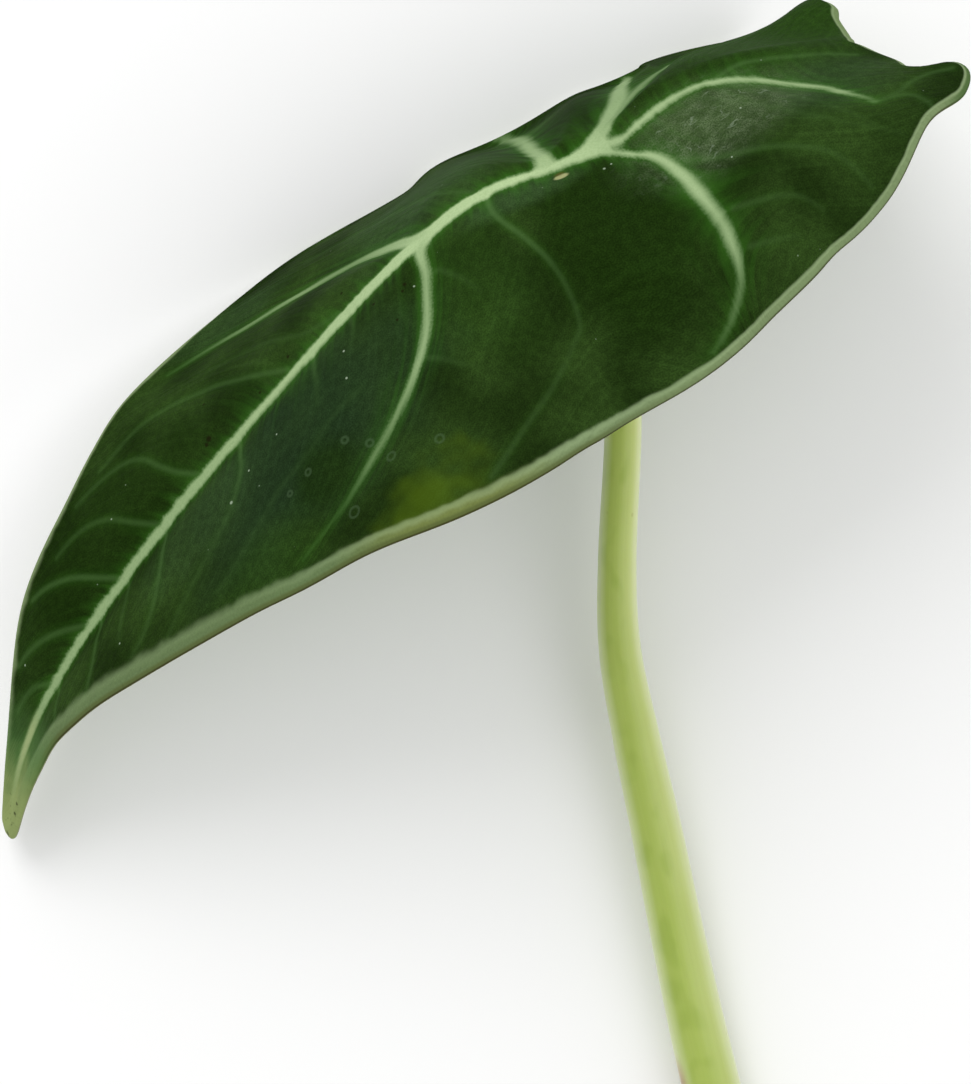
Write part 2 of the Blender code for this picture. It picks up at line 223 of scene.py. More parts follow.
MAIN_VEINS: dict[str, Vein] = {
    "midrib": Vein(
        (
            (0, 2.1, 1.8, 0.83, 1.4), (4, 2.2, 1.05, 0.88, 1.5), (8, 1.75, 1.0, 0.92, 1.5),
            (12, 1.2, 1.05, 0.97, 1.5), (18, 0.5, 1.4, 0.94, 1.5), (25, 0.1, 1.8, 0.9, 1.4),
            (34, -0.45, 1.75, 0.86, 1.4), (45, -0.5, 1.5, 0.8, 1.4), (60, -0.45, 0.95, 0.74, 1.9),
            (80, -0.8, 1.05, 0.62, 1.1), (100, -0.8, 0.88, 0.61, 0.9), (120, -0.8, 0.8, 0.6, 0.8),
            (135, -0.7, 0.7, 0.5, 0.7), (146, -0.2, 0.55, 0.4, 0.7),
        ),
        (1.7, 0.6), (2.3, 0.5), (4.2, 3.5), (3.0, 0.8),
    ),
    "near_side_bold": Vein(
        (
            (0, 2.0, 0.9, 0.82, 1.2), (-2.2, 5.4, 0.35, 0.66, 1.2), (-4.4, 7.8, 0.45, 0.78, 1.5),
            (-7, 10.6, 0.7, 0.74, 2.0), (-8.4, 15, 0.95, 0.73, 2.3), (-9.1, 20.5, 0.97, 0.71, 2.7),
            (-9.4, 25, 0.9, 0.6, 2.6), (-8.7, 29.5, 0.85, 0.6, 2.3), (-6.7, 33.7, 0.62, 0.38, 1.8),
            (-2.9, 36.6, 0.45, 0.3, 1.4), (1.5, 39.5, 0.3, 0.16, 1.0),
        ),
        (1.5, 0.7), (2.2, 0.5), (5.0, 4.0), (2.2, 0.6),
    ),
    "near_lobe": Vein(
        (
            (0, 2.0, 1.1, 0.82, 1.2), (-4, 4.1, 0.48, 0.7, 1.2), (-8, 3.5, 0.55, 0.74, 1.2),
            (-12.4, 2.7, 0.6, 0.7, 1.3), (-17, 2.3, 0.55, 0.7, 1.4), (-21.2, 2.8, 0.6, 0.7, 1.5),
            (-25.3, 4.2, 0.6, 0.68, 1.9), (-29.6, 6.1, 0.6, 0.66, 1.8), (-33.5, 9.2, 0.68, 0.66, 1.7),
            (-37.3, 12.7, 0.6, 0.58, 1.5), (-39.9, 17.3, 0.48, 0.54, 1.3), (-43, 21.8, 0.34, 0.24, 1.1),
        ),
        (1.4, 0.5), (1.8, 0.5), (5.0, 4.0), (2.0, 0.5),
    ),
    "far_lobe": Vein(
        (
            (0, 1.8, 1.4, 0.82, 1.4), (-4.5, -1.8, 1.1, 0.5, 2.0), (-9.7, -8.4, 1.15, 0.48, 2.4),
            (-13.9, -14.7, 1.05, 0.42, 2.4), (-18.9, -23, 0.9, 0.4, 2.2), (-27, -29, 0.8, 0.42, 2.0),
            (-37, -30.5, 0.6, 0.34, 1.6), (-46, -27, 0.4, 0.21, 1.2),
        ),
        (1.4, 0.5), (1.8, 0.4), (5.0, 4.0), (2.0, 0.5),
    ),
    "far_side_bold": Vein(
        (
            (0, 1.8, 1.6, 0.82, 1.4), (-3.1, -1.3, 1.7, 0.64, 1.8), (-6.1, -6.6, 1.7, 0.62, 2.4),
            (-8.3, -11.5, 1.65, 0.59, 2.6), (-9.9, -18.8, 1.5, 0.61, 2.6), (-11.2, -25, 1.3, 0.58, 2.4),
            (-12.7, -31, 1.3, 0.6, 2.2), (-14.4, -38, 1.0, 0.5, 1.6),
        ),
        (1.5, 0.7), (2.0, 0.5), (5.0, 4.0), (2.2, 0.6),
    ),
    "far_side_forward": Vein(
        (
            (7.2, 0.8, 1.4, 0.74, 1.4), (7.0, -3, 1.05, 0.66, 1.8), (6.5, -9, 0.92, 0.62, 2.0),
            (5.9, -15, 0.88, 0.6, 2.0), (5.3, -21, 0.84, 0.56, 2.0), (4.9, -28, 0.75, 0.52, 1.8),
            (4.6, -34, 0.65, 0.5, 1.6), (5, -41, 0.5, 0.34, 1.2),
        ),
        (1.1, 0.5), (1.6, 0.5), (4.5, 4.0), (1.6, 0.5),
    ),
    "near_side_mid": Vein(
        (
            (29.2, -0.4, 1.5, 0.76, 1.2), (31.0, 2.8, 0.95, 0.68, 1.2), (31.9, 6, 0.75, 0.61, 1.3),
            (33.7, 9.6, 0.68, 0.59, 1.4), (35.9, 13.2, 0.66, 0.6, 1.4), (38.8, 16.5, 0.6, 0.6, 1.3),
            (43.7, 20.1, 0.6, 0.52, 1.2), (49, 23.2, 0.56, 0.43, 1.1), (55, 26.1, 0.5, 0.36, 1.0),
            (59, 27.6, 0.42, 0.24, 0.9), (64, 28.6, 0.3, 0.15, 0.8), (73, 29, 0.2, 0.08, 0.8),
        ),
        (1.1, 0.5), (1.5, 0.4), (4.5, 3.5), (1.5, 0.4),
    ),
    "far_side_mid": Vein(
        (
            (29.2, -0.8, 1.6, 0.76, 1.4), (31.6, -3.8, 1.25, 0.68, 1.6), (33.7, -7.8, 1.25, 0.62, 1.6),
            (37, -12.4, 1.15, 0.55, 1.6), (41, -16.4, 0.92, 0.46, 1.5), (46, -19.7, 0.9, 0.46, 1.4),
            (52, -22.8, 0.8, 0.5, 1.3), (58, -24.6, 0.7, 0.44, 1.2), (64, -26.3, 0.6, 0.4, 1.1),
            (69, -27.2, 0.5, 0.28, 1.0), (77, -27.2, 0.25, 0.1, 0.8),
        ),
        (1.1, 0.5), (1.5, 0.4), (4.5, 3.5), (1.5, 0.4),
    ),
}

SIDE_VEINS: tuple[SideVein, ...] = (
    SideVein(
        ((17.7, 0.8), (18.3, 5.4), (17.7, 8.8), (16.3, 12.2), (14.6, 16.7), (14.2, 18.4)),
        (0.95, 0.45),
    ),
    SideVein(
        ((14.2, 18.4), (13.8, 21.3), (14, 25.8), (14.9, 28.7), (16.9, 30.4), (20.9, 32.9)),
        (0.35, 0.12),
    ),
    SideVein(((20.9, 32.9), (26.5, 35.5), (33.4, 38), (39, 40.3), (42.5, 41.7)), (0.22, 0.3)),
    SideVein(((31.4, 6.8), (30, 7.9), (28.8, 10.5), (27.7, 12.8), (26.5, 16.7)), (0.35, 0.05)),
    SideVein(((39.3, 18), (37.3, 20.7), (35.6, 23.5), (33.9, 25.8)), (0.3, 0.05)),
    SideVein(((45.3, 0), (45.3, 4.2), (46.2, 7)), (0.5, 0.05)),
    SideVein(((53.6, 0.2), (53.9, 4), (54.5, 7.7), (56.4, 11.5)), (0.5, 0.08)),
    SideVein(((71.7, 0.2), (71.5, 3.4), (72.3, 7.1), (74.5, 9.6), (77.6, 11.8)), (0.75, 0.2)),
    SideVein(((77.6, 11.8), (82, 13.4), (87, 14.6), (92, 15.9), (98.2, 18.1)), (0.2, 0.14)),
    SideVein(
        ((90.1, 0.2), (91.1, 3.4), (92.6, 6.5), (95.1, 9.6), (98.2, 12.1), (101.4, 14), (105, 14.8)),
        (0.6, 0.16),
    ),
    SideVein(((100.4, 0.4), (100.8, 4), (102.6, 6.5), (104.5, 9), (105.8, 10.9)), (0.4, 0.1)),
    SideVein(((108.2, 0.2), (109.2, 3.4), (111, 6.8), (113.2, 9), (115.8, 11.2)), (0.55, 0.3)),
    SideVein(((121.7, 0.2), (122.3, 3.4), (123.3, 5.9), (124.4, 7.3)), (0.5, 0.3)),
    SideVein(
        ((49.5, 15.2), (55.8, 15.6), (61.2, 17), (68.2, 17.4), (74.5, 18.7), (80.8, 19.6), (87, 20.3)),
        (0.12, 0.12),
    ),
    SideVein(((19, -1.8), (22, -6), (25.5, -12), (31, -20), (40, -28), (50, -33)), (0.3, 0.2)),
    SideVein(((46, -2.4), (52.6, -5), (55.8, -7.7), (58.9, -11), (64, -15), (70, -18)), (0.25, 0.1)),
    SideVein(
        (
            (58.2, -2.4), (62, -5.7), (65.8, -9.1), (70.1, -12.9), (74.5, -15.7), (78.9, -17.9),
            (84.5, -19.1), (93.2, -18.4),
        ),
        (0.5, 0.22),
    ),
    SideVein(
        (
            (80.1, -2.2), (82.6, -5.4), (84.5, -9.1), (85.8, -12.2), (88.2, -14.7), (92, -16.3),
            (99.5, -17.1),
        ),
        (0.55, 0.25),
    ),
    SideVein(
        ((90.4, -1.9), (93.2, -5.4), (95.8, -9.1), (98.9, -11.6), (102.6, -12.9), (107, -13.2)),
        (0.5, 0.25),
    ),
    SideVein(
        ((101.4, -1.7), (103.9, -4.7), (106.4, -7.6), (108.9, -9.7), (112, -11.6), (115.1, -12.7)),
        (0.65, 0.5),
    ),
    SideVein(((111, -1.7), (114.5, -4.4), (118.2, -6.6), (122, -8), (124.5, -8.5)), (0.6, 0.45)),
    SideVein(((122.6, -1.6), (125.1, -3.8), (128.2, -4.9), (131, -5.2)), (0.55, 0.4)),
    SideVein(
        ((-10.3, 13.4), (-16, 18), (-22.8, 21.7), (-28.5, 25.4), (-32.4, 28.2), (-35.3, 31.6), (-37, 34.5)),
        (0.4, 0.15),
    ),
    SideVein(((-12, 24.8), (-18.2, 28.2), (-22.8, 31), (-26.2, 34.5)), (0.4, 0.12)),
    SideVein(((-11, 31), (-14.5, 33), (-19, 35.5)), (0.35, 0.1)),
    SideVein(((-21.6, 2.4), (-26.2, 0.9), (-30.7, 1.2), (-35.3, 2.1), (-41, 3.2), (-45, 4.6)), (0.6, 0.35)),
    SideVein(((-42.7, 22), (-45.5, 21.9), (-47.8, 22.2), (-49.2, 23.7), (-49.8, 26)), (0.5, 0.3)),
    SideVein(((-43.8, 22), (-47.2, 20.8), (-49.5, 18.8), (-52.9, 17.4), (-56.5, 17.7)), (0.3, 0.4)),
    SideVein(((-27.5, 6), (-31.5, 13), (-36.5, 20.5), (-41.5, 28)), (0.25, 0.08)),
    SideVein(((-16.5, 3.3), (-22, 10), (-29, 17.5), (-37, 25), (-44, 29.5)), (0.2, 0.08)),
    SideVein(((-11, -25), (-17, -31), (-25, -37)), (0.5, 0.2)),
    SideVein(((-13, -11), (-22, -14), (-33, -18), (-44, -22)), (0.35, 0.2)),
    SideVein(((-28, -27.5), (-34, -32), (-41, -33)), (0.45, 0.2)),
    SideVein(((5.4, -24), (12, -31), (22, -38)), (0.45, 0.2)),
)


@dataclass(frozen=True)
class LeafForm:
    """Bent shape of the blade and how the leaf lies, shared by its pieces, in millimetres.

    On the flat leaf, u runs from the stalk's junction toward the tip, and v
    across, positive in the near half.
    """

    half_outline: Table = (
        (-46, 0), (-50, 6), (-53.5, 11.5), (-58, 15.5), (-56, 22), (-49, 27.5), (-38, 36.5),
        (-20, 40.5), (0, 41), (25, 44.8), (50, 43.3), (75, 31.5), (98, 21.5), (118, 13.5),
        (133, 7.0), (142, 4.5), (148.5, 3.1), (151.1, 1.9), (151.9, 0),
    )
    least_half_width: float = 4.0
    far_lobe_share: float = 0.56
    far_width_share: Table = ((-60, 1.03), (-25, 1.03), (5, 1.0), (45, 0.985), (90, 1.0), (155, 1.0))
    spine: Table = (
        (-60, 36), (-46, 22), (-36, 23), (-27, 15.5), (-18, -4.5), (-9, -11), (-2, -15),
        (8, 5), (30, -17), (60, -31.5), (90, -35.5), (120, -44), (152, -71),
    )
    near_droop: Table = (
        (-60, 0, 0), (-40, 13.5, 4), (-20, 7, 8), (0, 13, 10), (30, 8, 10),
        (60, -3.5, 10), (90, -6, 10), (120, -14, 10), (152, -2, 6),
    )
    far_droop: Table = (
        (-60, 10, 12), (-40, 18.5, 10), (-20, 24, 8), (0, 20, 8), (30, 24, 8),
        (60, 13, 8), (90, -9, 8), (120, -17, 8), (152, 12, 4),
    )
    swells: Table = ((-52, -20, 10, 6), (-61, 16, 7, 5), (-43, 26, 18, 13), (4, 5, 28, 5), (-6, -37, 9, -1.1))
    margin_shifts: Table = (
        (-54, 12.5, 2.6, 0.6, 4), (-54.5, 15.2, 1.0, 0.3, 2.5), (-58.5, 18.5, -0.8, 0, 3),
        (-52.5, -16, 0.65, 0, 5), (-9, -39.5, 0, 1.1, 9), (74, 32.5, 0, 0.9, 9), (119, 13, 0, -1.3, 11),
        (127, 9, 0, -0.7, 5), (152, 0, -1.2, 0, 5), (117, -14, 0, -0.8, 8), (101, -20, 0, 0.5, 6),
        (86, -27, 0, -0.6, 6),
    )
    spine_start: float = -70
    spine_end: float = 160
    spine_step: float = 0.5
    width_step: float = 0.25
    slope_step: float = 0.5
    side_sweep: float = 52
    side_sweep_least: float = 0.35
    side_sweep_width: float = 45
    side_sweep_rise: Pair = (-2, 14)
    side_sweep_power: float = 1.8
    heading: float = 18.8
    tip_over: float = 43.0
    roll: float = 10.0
    spine_round: float = 2.4
    junction: Place = (17.93, 85.53, 40.7)
    boss_depth: float = 7.6

    def outline(self, step: float) -> np.ndarray:
        """Closed flat outline, without its first point again: near half, tip, far half."""
        near = through(self.half_outline, step)
        far = near[-2:0:-1] * (1, -1)
        past = np.minimum(far[:, 0] - self.half_outline[0][0], 0)
        far[:, 0] -= past * (1 - self.far_lobe_share)
        far[:, 1] *= smooth(self.far_width_share, 1, far[:, 0])
        edge = np.vstack([near, far])
        for u0, v0, push_u, push_v, reach in self.margin_shifts:
            pull = np.exp(-((edge[:, 0] - u0) ** 2 + (edge[:, 1] - v0) ** 2) / reach**2)
            edge = edge + pull[:, None] * (push_u, push_v)
        return edge

    def half_width(self, u: np.ndarray) -> np.ndarray:
        """Half width of the flat blade at u."""
        near = through(self.half_outline, self.width_step)
        outer = near[np.argmin(near[:, 0]):]
        return np.maximum(np.interp(u, outer[:, 0], outer[:, 1]), self.least_half_width)

    def spine_at(self, u: np.ndarray) -> tuple[np.ndarray, np.ndarray, np.ndarray]:
        """Place along, height and slope in radians of the bent spine at u."""
        s = np.arange(self.spine_start, self.spine_end + self.spine_step / 2, self.spine_step)
        at_junction = int(-self.spine_start / self.spine_step)
        slope = np.radians(smooth(self.spine, 1, s))
        places = []
        for rate in (np.cos(slope), np.sin(slope)):
            run = np.concatenate([[0], np.cumsum((rate[1:] + rate[:-1]) / 2 * self.spine_step)])
            places.append(np.interp(u, s, run - run[at_junction]))
        return places[0], places[1], np.radians(smooth(self.spine, 1, u))

    def bent(self, flat: np.ndarray) -> np.ndarray:
        """Bent blade without its veins.

        Args:
            flat: flat points, one a row.

        Returns:
            Their places in the leaf's own axes, one a row.
        """
        u, v = flat[:, 0], flat[:, 1]
        along, height, slope = self.spine_at(u)
        reach = np.abs(v)
        droop = np.where(v >= 0, smooth(self.near_droop, 1, u), smooth(self.far_droop, 1, u))
        further = np.where(v >= 0, smooth(self.near_droop, 2, u), smooth(self.far_droop, 2, u))
        half_turn = np.radians(further) * reach / self.half_width(u)
        mean = np.radians(droop) + half_turn
        chord = reach * np.sinc(half_turn / math.pi)
        down = chord * np.sin(mean) * (1 - np.exp(-((reach / self.spine_round) ** 2)))
        z = height - np.cos(slope) * down
        for u0, v0, radius, lift in self.swells:
            z = z + lift * np.exp(-((u - u0) ** 2 + (v - v0) ** 2) / radius**2)
        return np.stack([along + np.sin(slope) * down, np.sign(v) * chord * np.cos(mean), z], axis=-1)

    def out_of_face(self, flat: np.ndarray) -> np.ndarray:
        """Unit directions out of the bent blade's upper face at flat points."""
        d = self.slope_step
        along = self.bent(flat + (d, 0)) - self.bent(flat - (d, 0))
        across = self.bent(flat + (0, d)) - self.bent(flat - (0, d))
        n = np.cross(along, across)
        return n / np.linalg.norm(n, axis=-1, keepdims=True)

    def boss_seat(self) -> tuple[np.ndarray, np.ndarray]:
        """Centre of the flat underside that the stalk meets, and the direction out of it."""
        here = np.zeros((1, 2))
        down = -self.out_of_face(here)[0]
        return self.bent(here)[0] + down * self.boss_depth, down

    def lie(self, p: np.ndarray) -> np.ndarray:
        """Leaf axes to where the leaf lies, in millimetres."""
        heading, tip, roll = (math.radians(a) for a in (self.heading, self.tip_over, self.roll))
        x, y, z = -p[..., 0], p[..., 2], p[..., 1]
        x, z = x * math.cos(roll) + z * math.sin(roll), z * math.cos(roll) - x * math.sin(roll)
        y, z = y * math.cos(tip) - z * math.sin(tip), y * math.sin(tip) + z * math.cos(tip)
        x, y = x * math.cos(heading) - y * math.sin(heading), x * math.sin(heading) + y * math.cos(heading)
        return np.stack([x, y, z], axis=-1) + np.array(self.junction)

    def side_shift(self, flat: np.ndarray) -> np.ndarray:
        """How far the thin veins have swept along the leaf, from where each left the midrib."""
        u, v = flat[:, 0], flat[:, 1]
        width = self.half_width(u)
        start, rise = self.side_sweep_rise
        least = self.side_sweep_least
        share = least + (1 - least) * width / self.side_sweep_width
        sweep = self.side_sweep * share * np.tanh((u - start) / rise)
        return sweep * np.clip(np.abs(v) / width, 0, 1) ** self.side_sweep_power


class Signal:
    """A number, vector or colour that runs through a tree, and whose arithmetic adds nodes."""

    def __init__(self, graph: "Graph", socket: bpy.types.NodeSocket) -> None:
        """Keeps the tree's helper and the socket that gives the value."""
        self.graph, self.socket = graph, socket

    def __mul__(self, other: object) -> "Signal":
        """This times another."""
        return self.graph.math("MULTIPLY", self, other)

    def __rmul__(self, other: object) -> "Signal":
        """Another times this."""
        return self.graph.math("MULTIPLY", other, self)

    def __add__(self, other: object) -> "Signal":
        """This plus another."""
        return self.graph.math("ADD", self, other)

    def __radd__(self, other: object) -> "Signal":
        """Another plus this."""
        return self.graph.math("ADD", other, self)

    def __sub__(self, other: object) -> "Signal":
        """This less another."""
        return self.graph.math("SUBTRACT", self, other)

    def __rsub__(self, other: object) -> "Signal":
        """Another less this."""
        return self.graph.math("SUBTRACT", other, self)

    def __truediv__(self, other: object) -> "Signal":
        """This over another."""
        return self.graph.math("DIVIDE", self, other)

    def __rtruediv__(self, other: object) -> "Signal":
        """Another over this."""
        return self.graph.math("DIVIDE", other, self)

    def __abs__(self) -> "Signal":
        """This without its sign."""
        return self.graph.math("ABSOLUTE", self)

    def step(self, low: float, high: float) -> "Signal":
        """Smooth step from 0 at low to 1 at high."""
        inputs = {"Value": self, "From Min": low, "From Max": high, "To Min": 0.0, "To Max": 1.0}
        if low > high:
            inputs.update({"From Min": high, "From Max": low, "To Min": 1.0, "To Max": 0.0})
        return self.graph.signal("ShaderNodeMapRange", "Result", inputs, interpolation_type="SMOOTHSTEP")


class Graph:
    """Short ways to add and join the nodes of one tree."""

    def __init__(self, tree: bpy.types.NodeTree) -> None:
        """Keeps the tree that the nodes go into."""
        self.tree = tree

    def node(self, kind: str, inputs: dict | None = None, **settings: object) -> bpy.types.Node:
        """Adds a node.

        Args:
            kind: the name of the node's type.
            inputs: a value or a socket for each input, by its name or number.
            settings: the node's own properties.

        Returns:
            The new node.
        """
        made = self.tree.nodes.new(kind)
        for name, value in settings.items():
            setattr(made, name, value)
        for key, value in (inputs or {}).items():
            self.feed(made.inputs[key], value)
        return made

    def feed(self, socket: bpy.types.NodeSocket, value: object) -> None:
        """Links a socket to a signal or another socket, or sets its value."""
        value = value.socket if isinstance(value, Signal) else value
        if isinstance(value, bpy.types.NodeSocket):
            self.tree.links.new(value, socket)
        else:
            socket.default_value = value

    def signal(self, kind: str, output: int | str, inputs: dict | None = None, **settings: object) -> Signal:
        """Adds a node and gives one of its outputs."""
        return Signal(self, self.node(kind, inputs, **settings).outputs[output])

    def math(self, operation: str, a: object, b: object = 0.0, clamp: bool = False) -> Signal:
        """Result of one step of arithmetic on two numbers or signals."""
        return self.signal("ShaderNodeMath", 0, {0: a, 1: b}, operation=operation, use_clamp=clamp)

    def vector(
        self, operation: str, a: object, b: object = (0.0, 0.0, 0.0), output: int | str = 0
    ) -> Signal:
        """Result of one step of vector arithmetic, whose second input may be a scale."""
        second = "Scale" if operation == "SCALE" else 1
        return self.signal("ShaderNodeVectorMath", output, {0: a, second: b}, operation=operation)

    def mix(self, factor: object, a: object, b: object, kind: str = "MIX") -> Signal:
        """Colour between a and b."""
        return self.signal("ShaderNodeMix", 2, {0: factor, 6: a, 7: b}, data_type="RGBA", blend_type=kind)

    def shaded(self, colour: object, part: object, dark: float | Colour, light: float | Colour) -> Signal:
        """The colour multiplied by a shade from dark at part 0 to light at part 1."""
        ends = [shade if isinstance(shade, tuple) else (shade, shade, shade, 1) for shade in (dark, light)]
        return self.mix(1.0, colour, self.mix(part, *ends), "MULTIPLY")

    def attribute(self, name: str, output: str = "Fac") -> Signal:
        """One of the piece's own attributes."""
        return self.signal("ShaderNodeAttribute", output, attribute_name=name)

    def place(self) -> Signal:
        """Object coordinates."""
        return self.signal("ShaderNodeTexCoord", "Object")

    def stored(self, name: str, kind: str = "FLOAT") -> Signal:
        """One of the geometry's named attributes."""
        return self.signal("GeometryNodeInputNamedAttribute", 0, {"Name": name}, data_type=kind)

    def store(self, geometry: object, name: str, value: object, kind: str) -> Signal:
        """The geometry with a named attribute on its points."""
        inputs = {"Geometry": geometry, "Name": name, "Value": value}
        return self.signal("GeometryNodeStoreNamedAttribute", 0, inputs, data_type=kind, domain="POINT")

    def noise(self, vector: object, scale: float, detail: float = 2.0) -> Signal:
        """Noise of a given scale over a vector, about 0.5 on average."""
        return self.signal("ShaderNodeTexNoise", 0, {"Vector": vector, "Scale": scale, "Detail": detail})

    def cells(self, vector: object, scale: float, **settings: object) -> Signal:
        """Distance within a pattern of cells."""
        return self.signal("ShaderNodeTexVoronoi", "Distance", {"Vector": vector, "Scale": scale}, **settings)

    def stretched(self, vector: object, factors: Place) -> Signal:
        """The vector with each of its parts multiplied."""
        return self.vector("MULTIPLY", vector, factors)

    def joined(self, x: object, y: object, z: object = 0.0) -> Signal:
        """A vector of three numbers or signals."""
        return self.signal("ShaderNodeCombineXYZ", 0, {0: x, 1: y, 2: z})

    def part(self, vector: object, axis: int) -> Signal:
        """One of a vector's three parts."""
        return self.signal("ShaderNodeSeparateXYZ", axis, {0: vector})

    def bump(self, height: object, distance: float, strength: float, under: object = None) -> Signal:
        """Normal bent by a height, on top of another normal if one is given."""
        inputs = {"Height": height, "Distance": distance, "Strength": strength}
        if under is not None:
            inputs["Normal"] = under
        return self.signal("ShaderNodeBump", "Normal", inputs)

    def away(self, flat: object, centre: Pair, reach: Pair = (1.0, 1.0)) -> Signal:
        """Distance on the flat leaf from a centre, in units of the reach along it and across."""
        inner = tuple(at / span for at, span in zip(centre, reach))
        scaled = flat if reach == (1.0, 1.0) else self.stretched(flat, (1 / reach[0], 1 / reach[1], 1.0))
        return self.vector("DISTANCE", scaled, (*inner, 0.0), "Value")

    def spot(self, flat: object, centre: Pair, radius: float, power: float) -> Signal:
        """1 at a centre on the flat leaf, falling to 0 past the radius, more sharply for a high power."""
        inner = radius * (1 - 1 / (power + 1))
        return self.away(flat, centre).step(radius, inner * 0.6)


def new_finish(name: str, **fixed: object) -> tuple[bpy.types.Material, Graph, bpy.types.Node]:
    """A new material with its fixed values set on the shader's own sockets.

    Args:
        name: the material's name.
        fixed: values by the shader's input names, with _ for a space.

    Returns:
        The material, a way to add nodes to it, and its shader.
    """
    material = bpy.data.materials.new(name)
    material.use_nodes = True
    shader = material.node_tree.nodes["Principled BSDF"]
    for key, value in fixed.items():
        shader.inputs[key.replace("_", " ")].default_value = value
    return material, Graph(material.node_tree), shader


def coat(
    shader: bpy.types.Node, colour: Signal, rough: Signal | None = None, normal: Signal | None = None
) -> None:
    """Gives a shader its colour and, where they vary, its roughness and its normal."""
    for name, value in (("Base Color", colour), ("Roughness", rough), ("Normal", normal)):
        if value is not None:
            colour.graph.feed(shader.inputs[name], value)


@dataclass(frozen=True)
class SpotFinish:
    """Small marks on the upper face: where each lies on the flat leaf, and its radius."""

    rings: Table = (
        (44.9, 31.7, 0.65), (56.2, 20.4, 0.5), (63.6, 19.7, 0.5), (53.6, 23.4, 0.55), (52.2, 28.1, 0.7),
        (61.8, 30.9, 0.9), (67.9, 19.7, 0.4),
    )
    pale: Table = (
        (76.8, 10.9, 0.36), (48.4, 7.6, 0.26), (50.4, 12.1, 0.26), (34.5, 6.8, 0.22), (64.4, 9.1, 0.2),
        (71.4, 9.6, 0.24), (0.6, 7.2, 0.26), (-0.6, 6.9, 0.2), (-21.9, 12.2, 0.24), (-16.4, 18.8, 0.2),
        (105.5, 11, 0.22), (95.7, -9.0, 0.2), (123.4, -7.2, 0.25),
    )
    dark: Table = (
        (35.4, 5.6, 0.3), (36.2, 6.4, 0.26), (39.3, 10, 0.22), (75.1, -4.7, 0.5), (76.0, -4.3, 0.35),
        (57.0, -4.0, 0.3), (64, -3.4, 0.25), (44.4, -5.4, 0.28), (40.8, 4.4, 0.32), (73, -11.2, 0.24),
        (24.0, -7.0, 0.2), (88.0, 4.4, 0.2),
    )
    on_tip: Table = (
        (144.4, 3.3, 0.42), (147.6, 0.9, 0.26), (147.2, 1.7, 0.28), (150.0, 1.3, 0.6), (142.2, 3.6, 0.4),
    )
    dark_spread: float = 1.3
    scar_at: Pair = (6.2, 4.7)
    scar_reach: Pair = (1.25, 0.62)
    # how far across the scar its painted shadow is shifted, in scar widths
    scar_shadow_shift: float = -1.1
    ring_colour: Colour = from_srgb(92, 118, 84)
    pale_colour: Colour = from_srgb(158, 174, 150)
    dark_colour: Colour = from_srgb(24, 22, 8)
    scar_colour: Colour = from_srgb(164, 166, 118)
    # colour of the painted shadow beside the scar
    scar_shadow: Colour = from_srgb(86, 76, 34)


class Tone(Enum):
    """Tones of the blade's green; the silver and cool tones are painted greyish and bluish sheen, not the
    leaf's own colour.
    """

    DEEP = from_srgb(23, 42, 8)
    LEAF = from_srgb(37, 63, 19)
    PAINTED_COOL_SHEEN = from_srgb(31, 49, 29)
    PAINTED_SHEEN = from_srgb(49, 72, 38)


# Broad soft patches of the flat leaf where one tone shows more: centre, reach, tone, strength. The deep and
# leaf patches are the leaf's own tone; the silver and cool patches are painted sheen where the surface is
# seen at a grazing angle
TONE_AND_SHEEN_PATCHES: tuple[tuple[Pair, Pair, Tone, float], ...] = (
    ((-34, -14), (30, 24), Tone.LEAF, 0.9),
    ((2, -10), (12, 14), Tone.DEEP, 0.85),
    ((18, -11), (9, 7), Tone.LEAF, 0.65),
    ((26, -18), (24, 20), Tone.PAINTED_SHEEN, 0.75),
    ((100, -8), (34, 14), Tone.DEEP, 0.75),
    ((4, 18), (15, 22), Tone.DEEP, 0.85),
    ((27, 14), (13, 16), Tone.LEAF, 0.45),
    ((62, 14), (34, 18), Tone.PAINTED_COOL_SHEEN, 0.7),
    ((84, 8), (18, 9), Tone.PAINTED_SHEEN, 0.4),
    ((78, 27), (16, 9), Tone.LEAF, 0.5),
    ((-38, 12), (14, 12), Tone.PAINTED_SHEEN, 0.6),
    ((13, 5), (13, 4), Tone.PAINTED_SHEEN, 0.85),
    ((61, 22), (8, 7), Tone.DEEP, 0.7),
    ((26, 27), (8, 6), Tone.DEEP, 0.45),
    ((66, -31), (16, 5), Tone.PAINTED_SHEEN, 0.6),
)


class BladeMarks:
    """What the blade's own attributes tell its finishes, named as Blade.marks gives them."""

    def __init__(self, graph: Graph) -> None:
        """Reads the attributes in a finish's tree."""
        self.flat = graph.attribute("flat", "Vector")
        self.run, self.half = graph.part(self.flat, 0), graph.part(self.flat, 1)
        self.gap, self.gain = graph.attribute("vein_gap"), graph.attribute("vein_gain")
        self.side_gap, self.side_gain = graph.attribute("side_gap"), graph.attribute("side_gain")
        self.rim_in, self.rim_band = graph.attribute("rim_in"), graph.attribute("rim_band")
        self.reach, self.stripe = graph.attribute("band_reach"), graph.attribute("stripe")


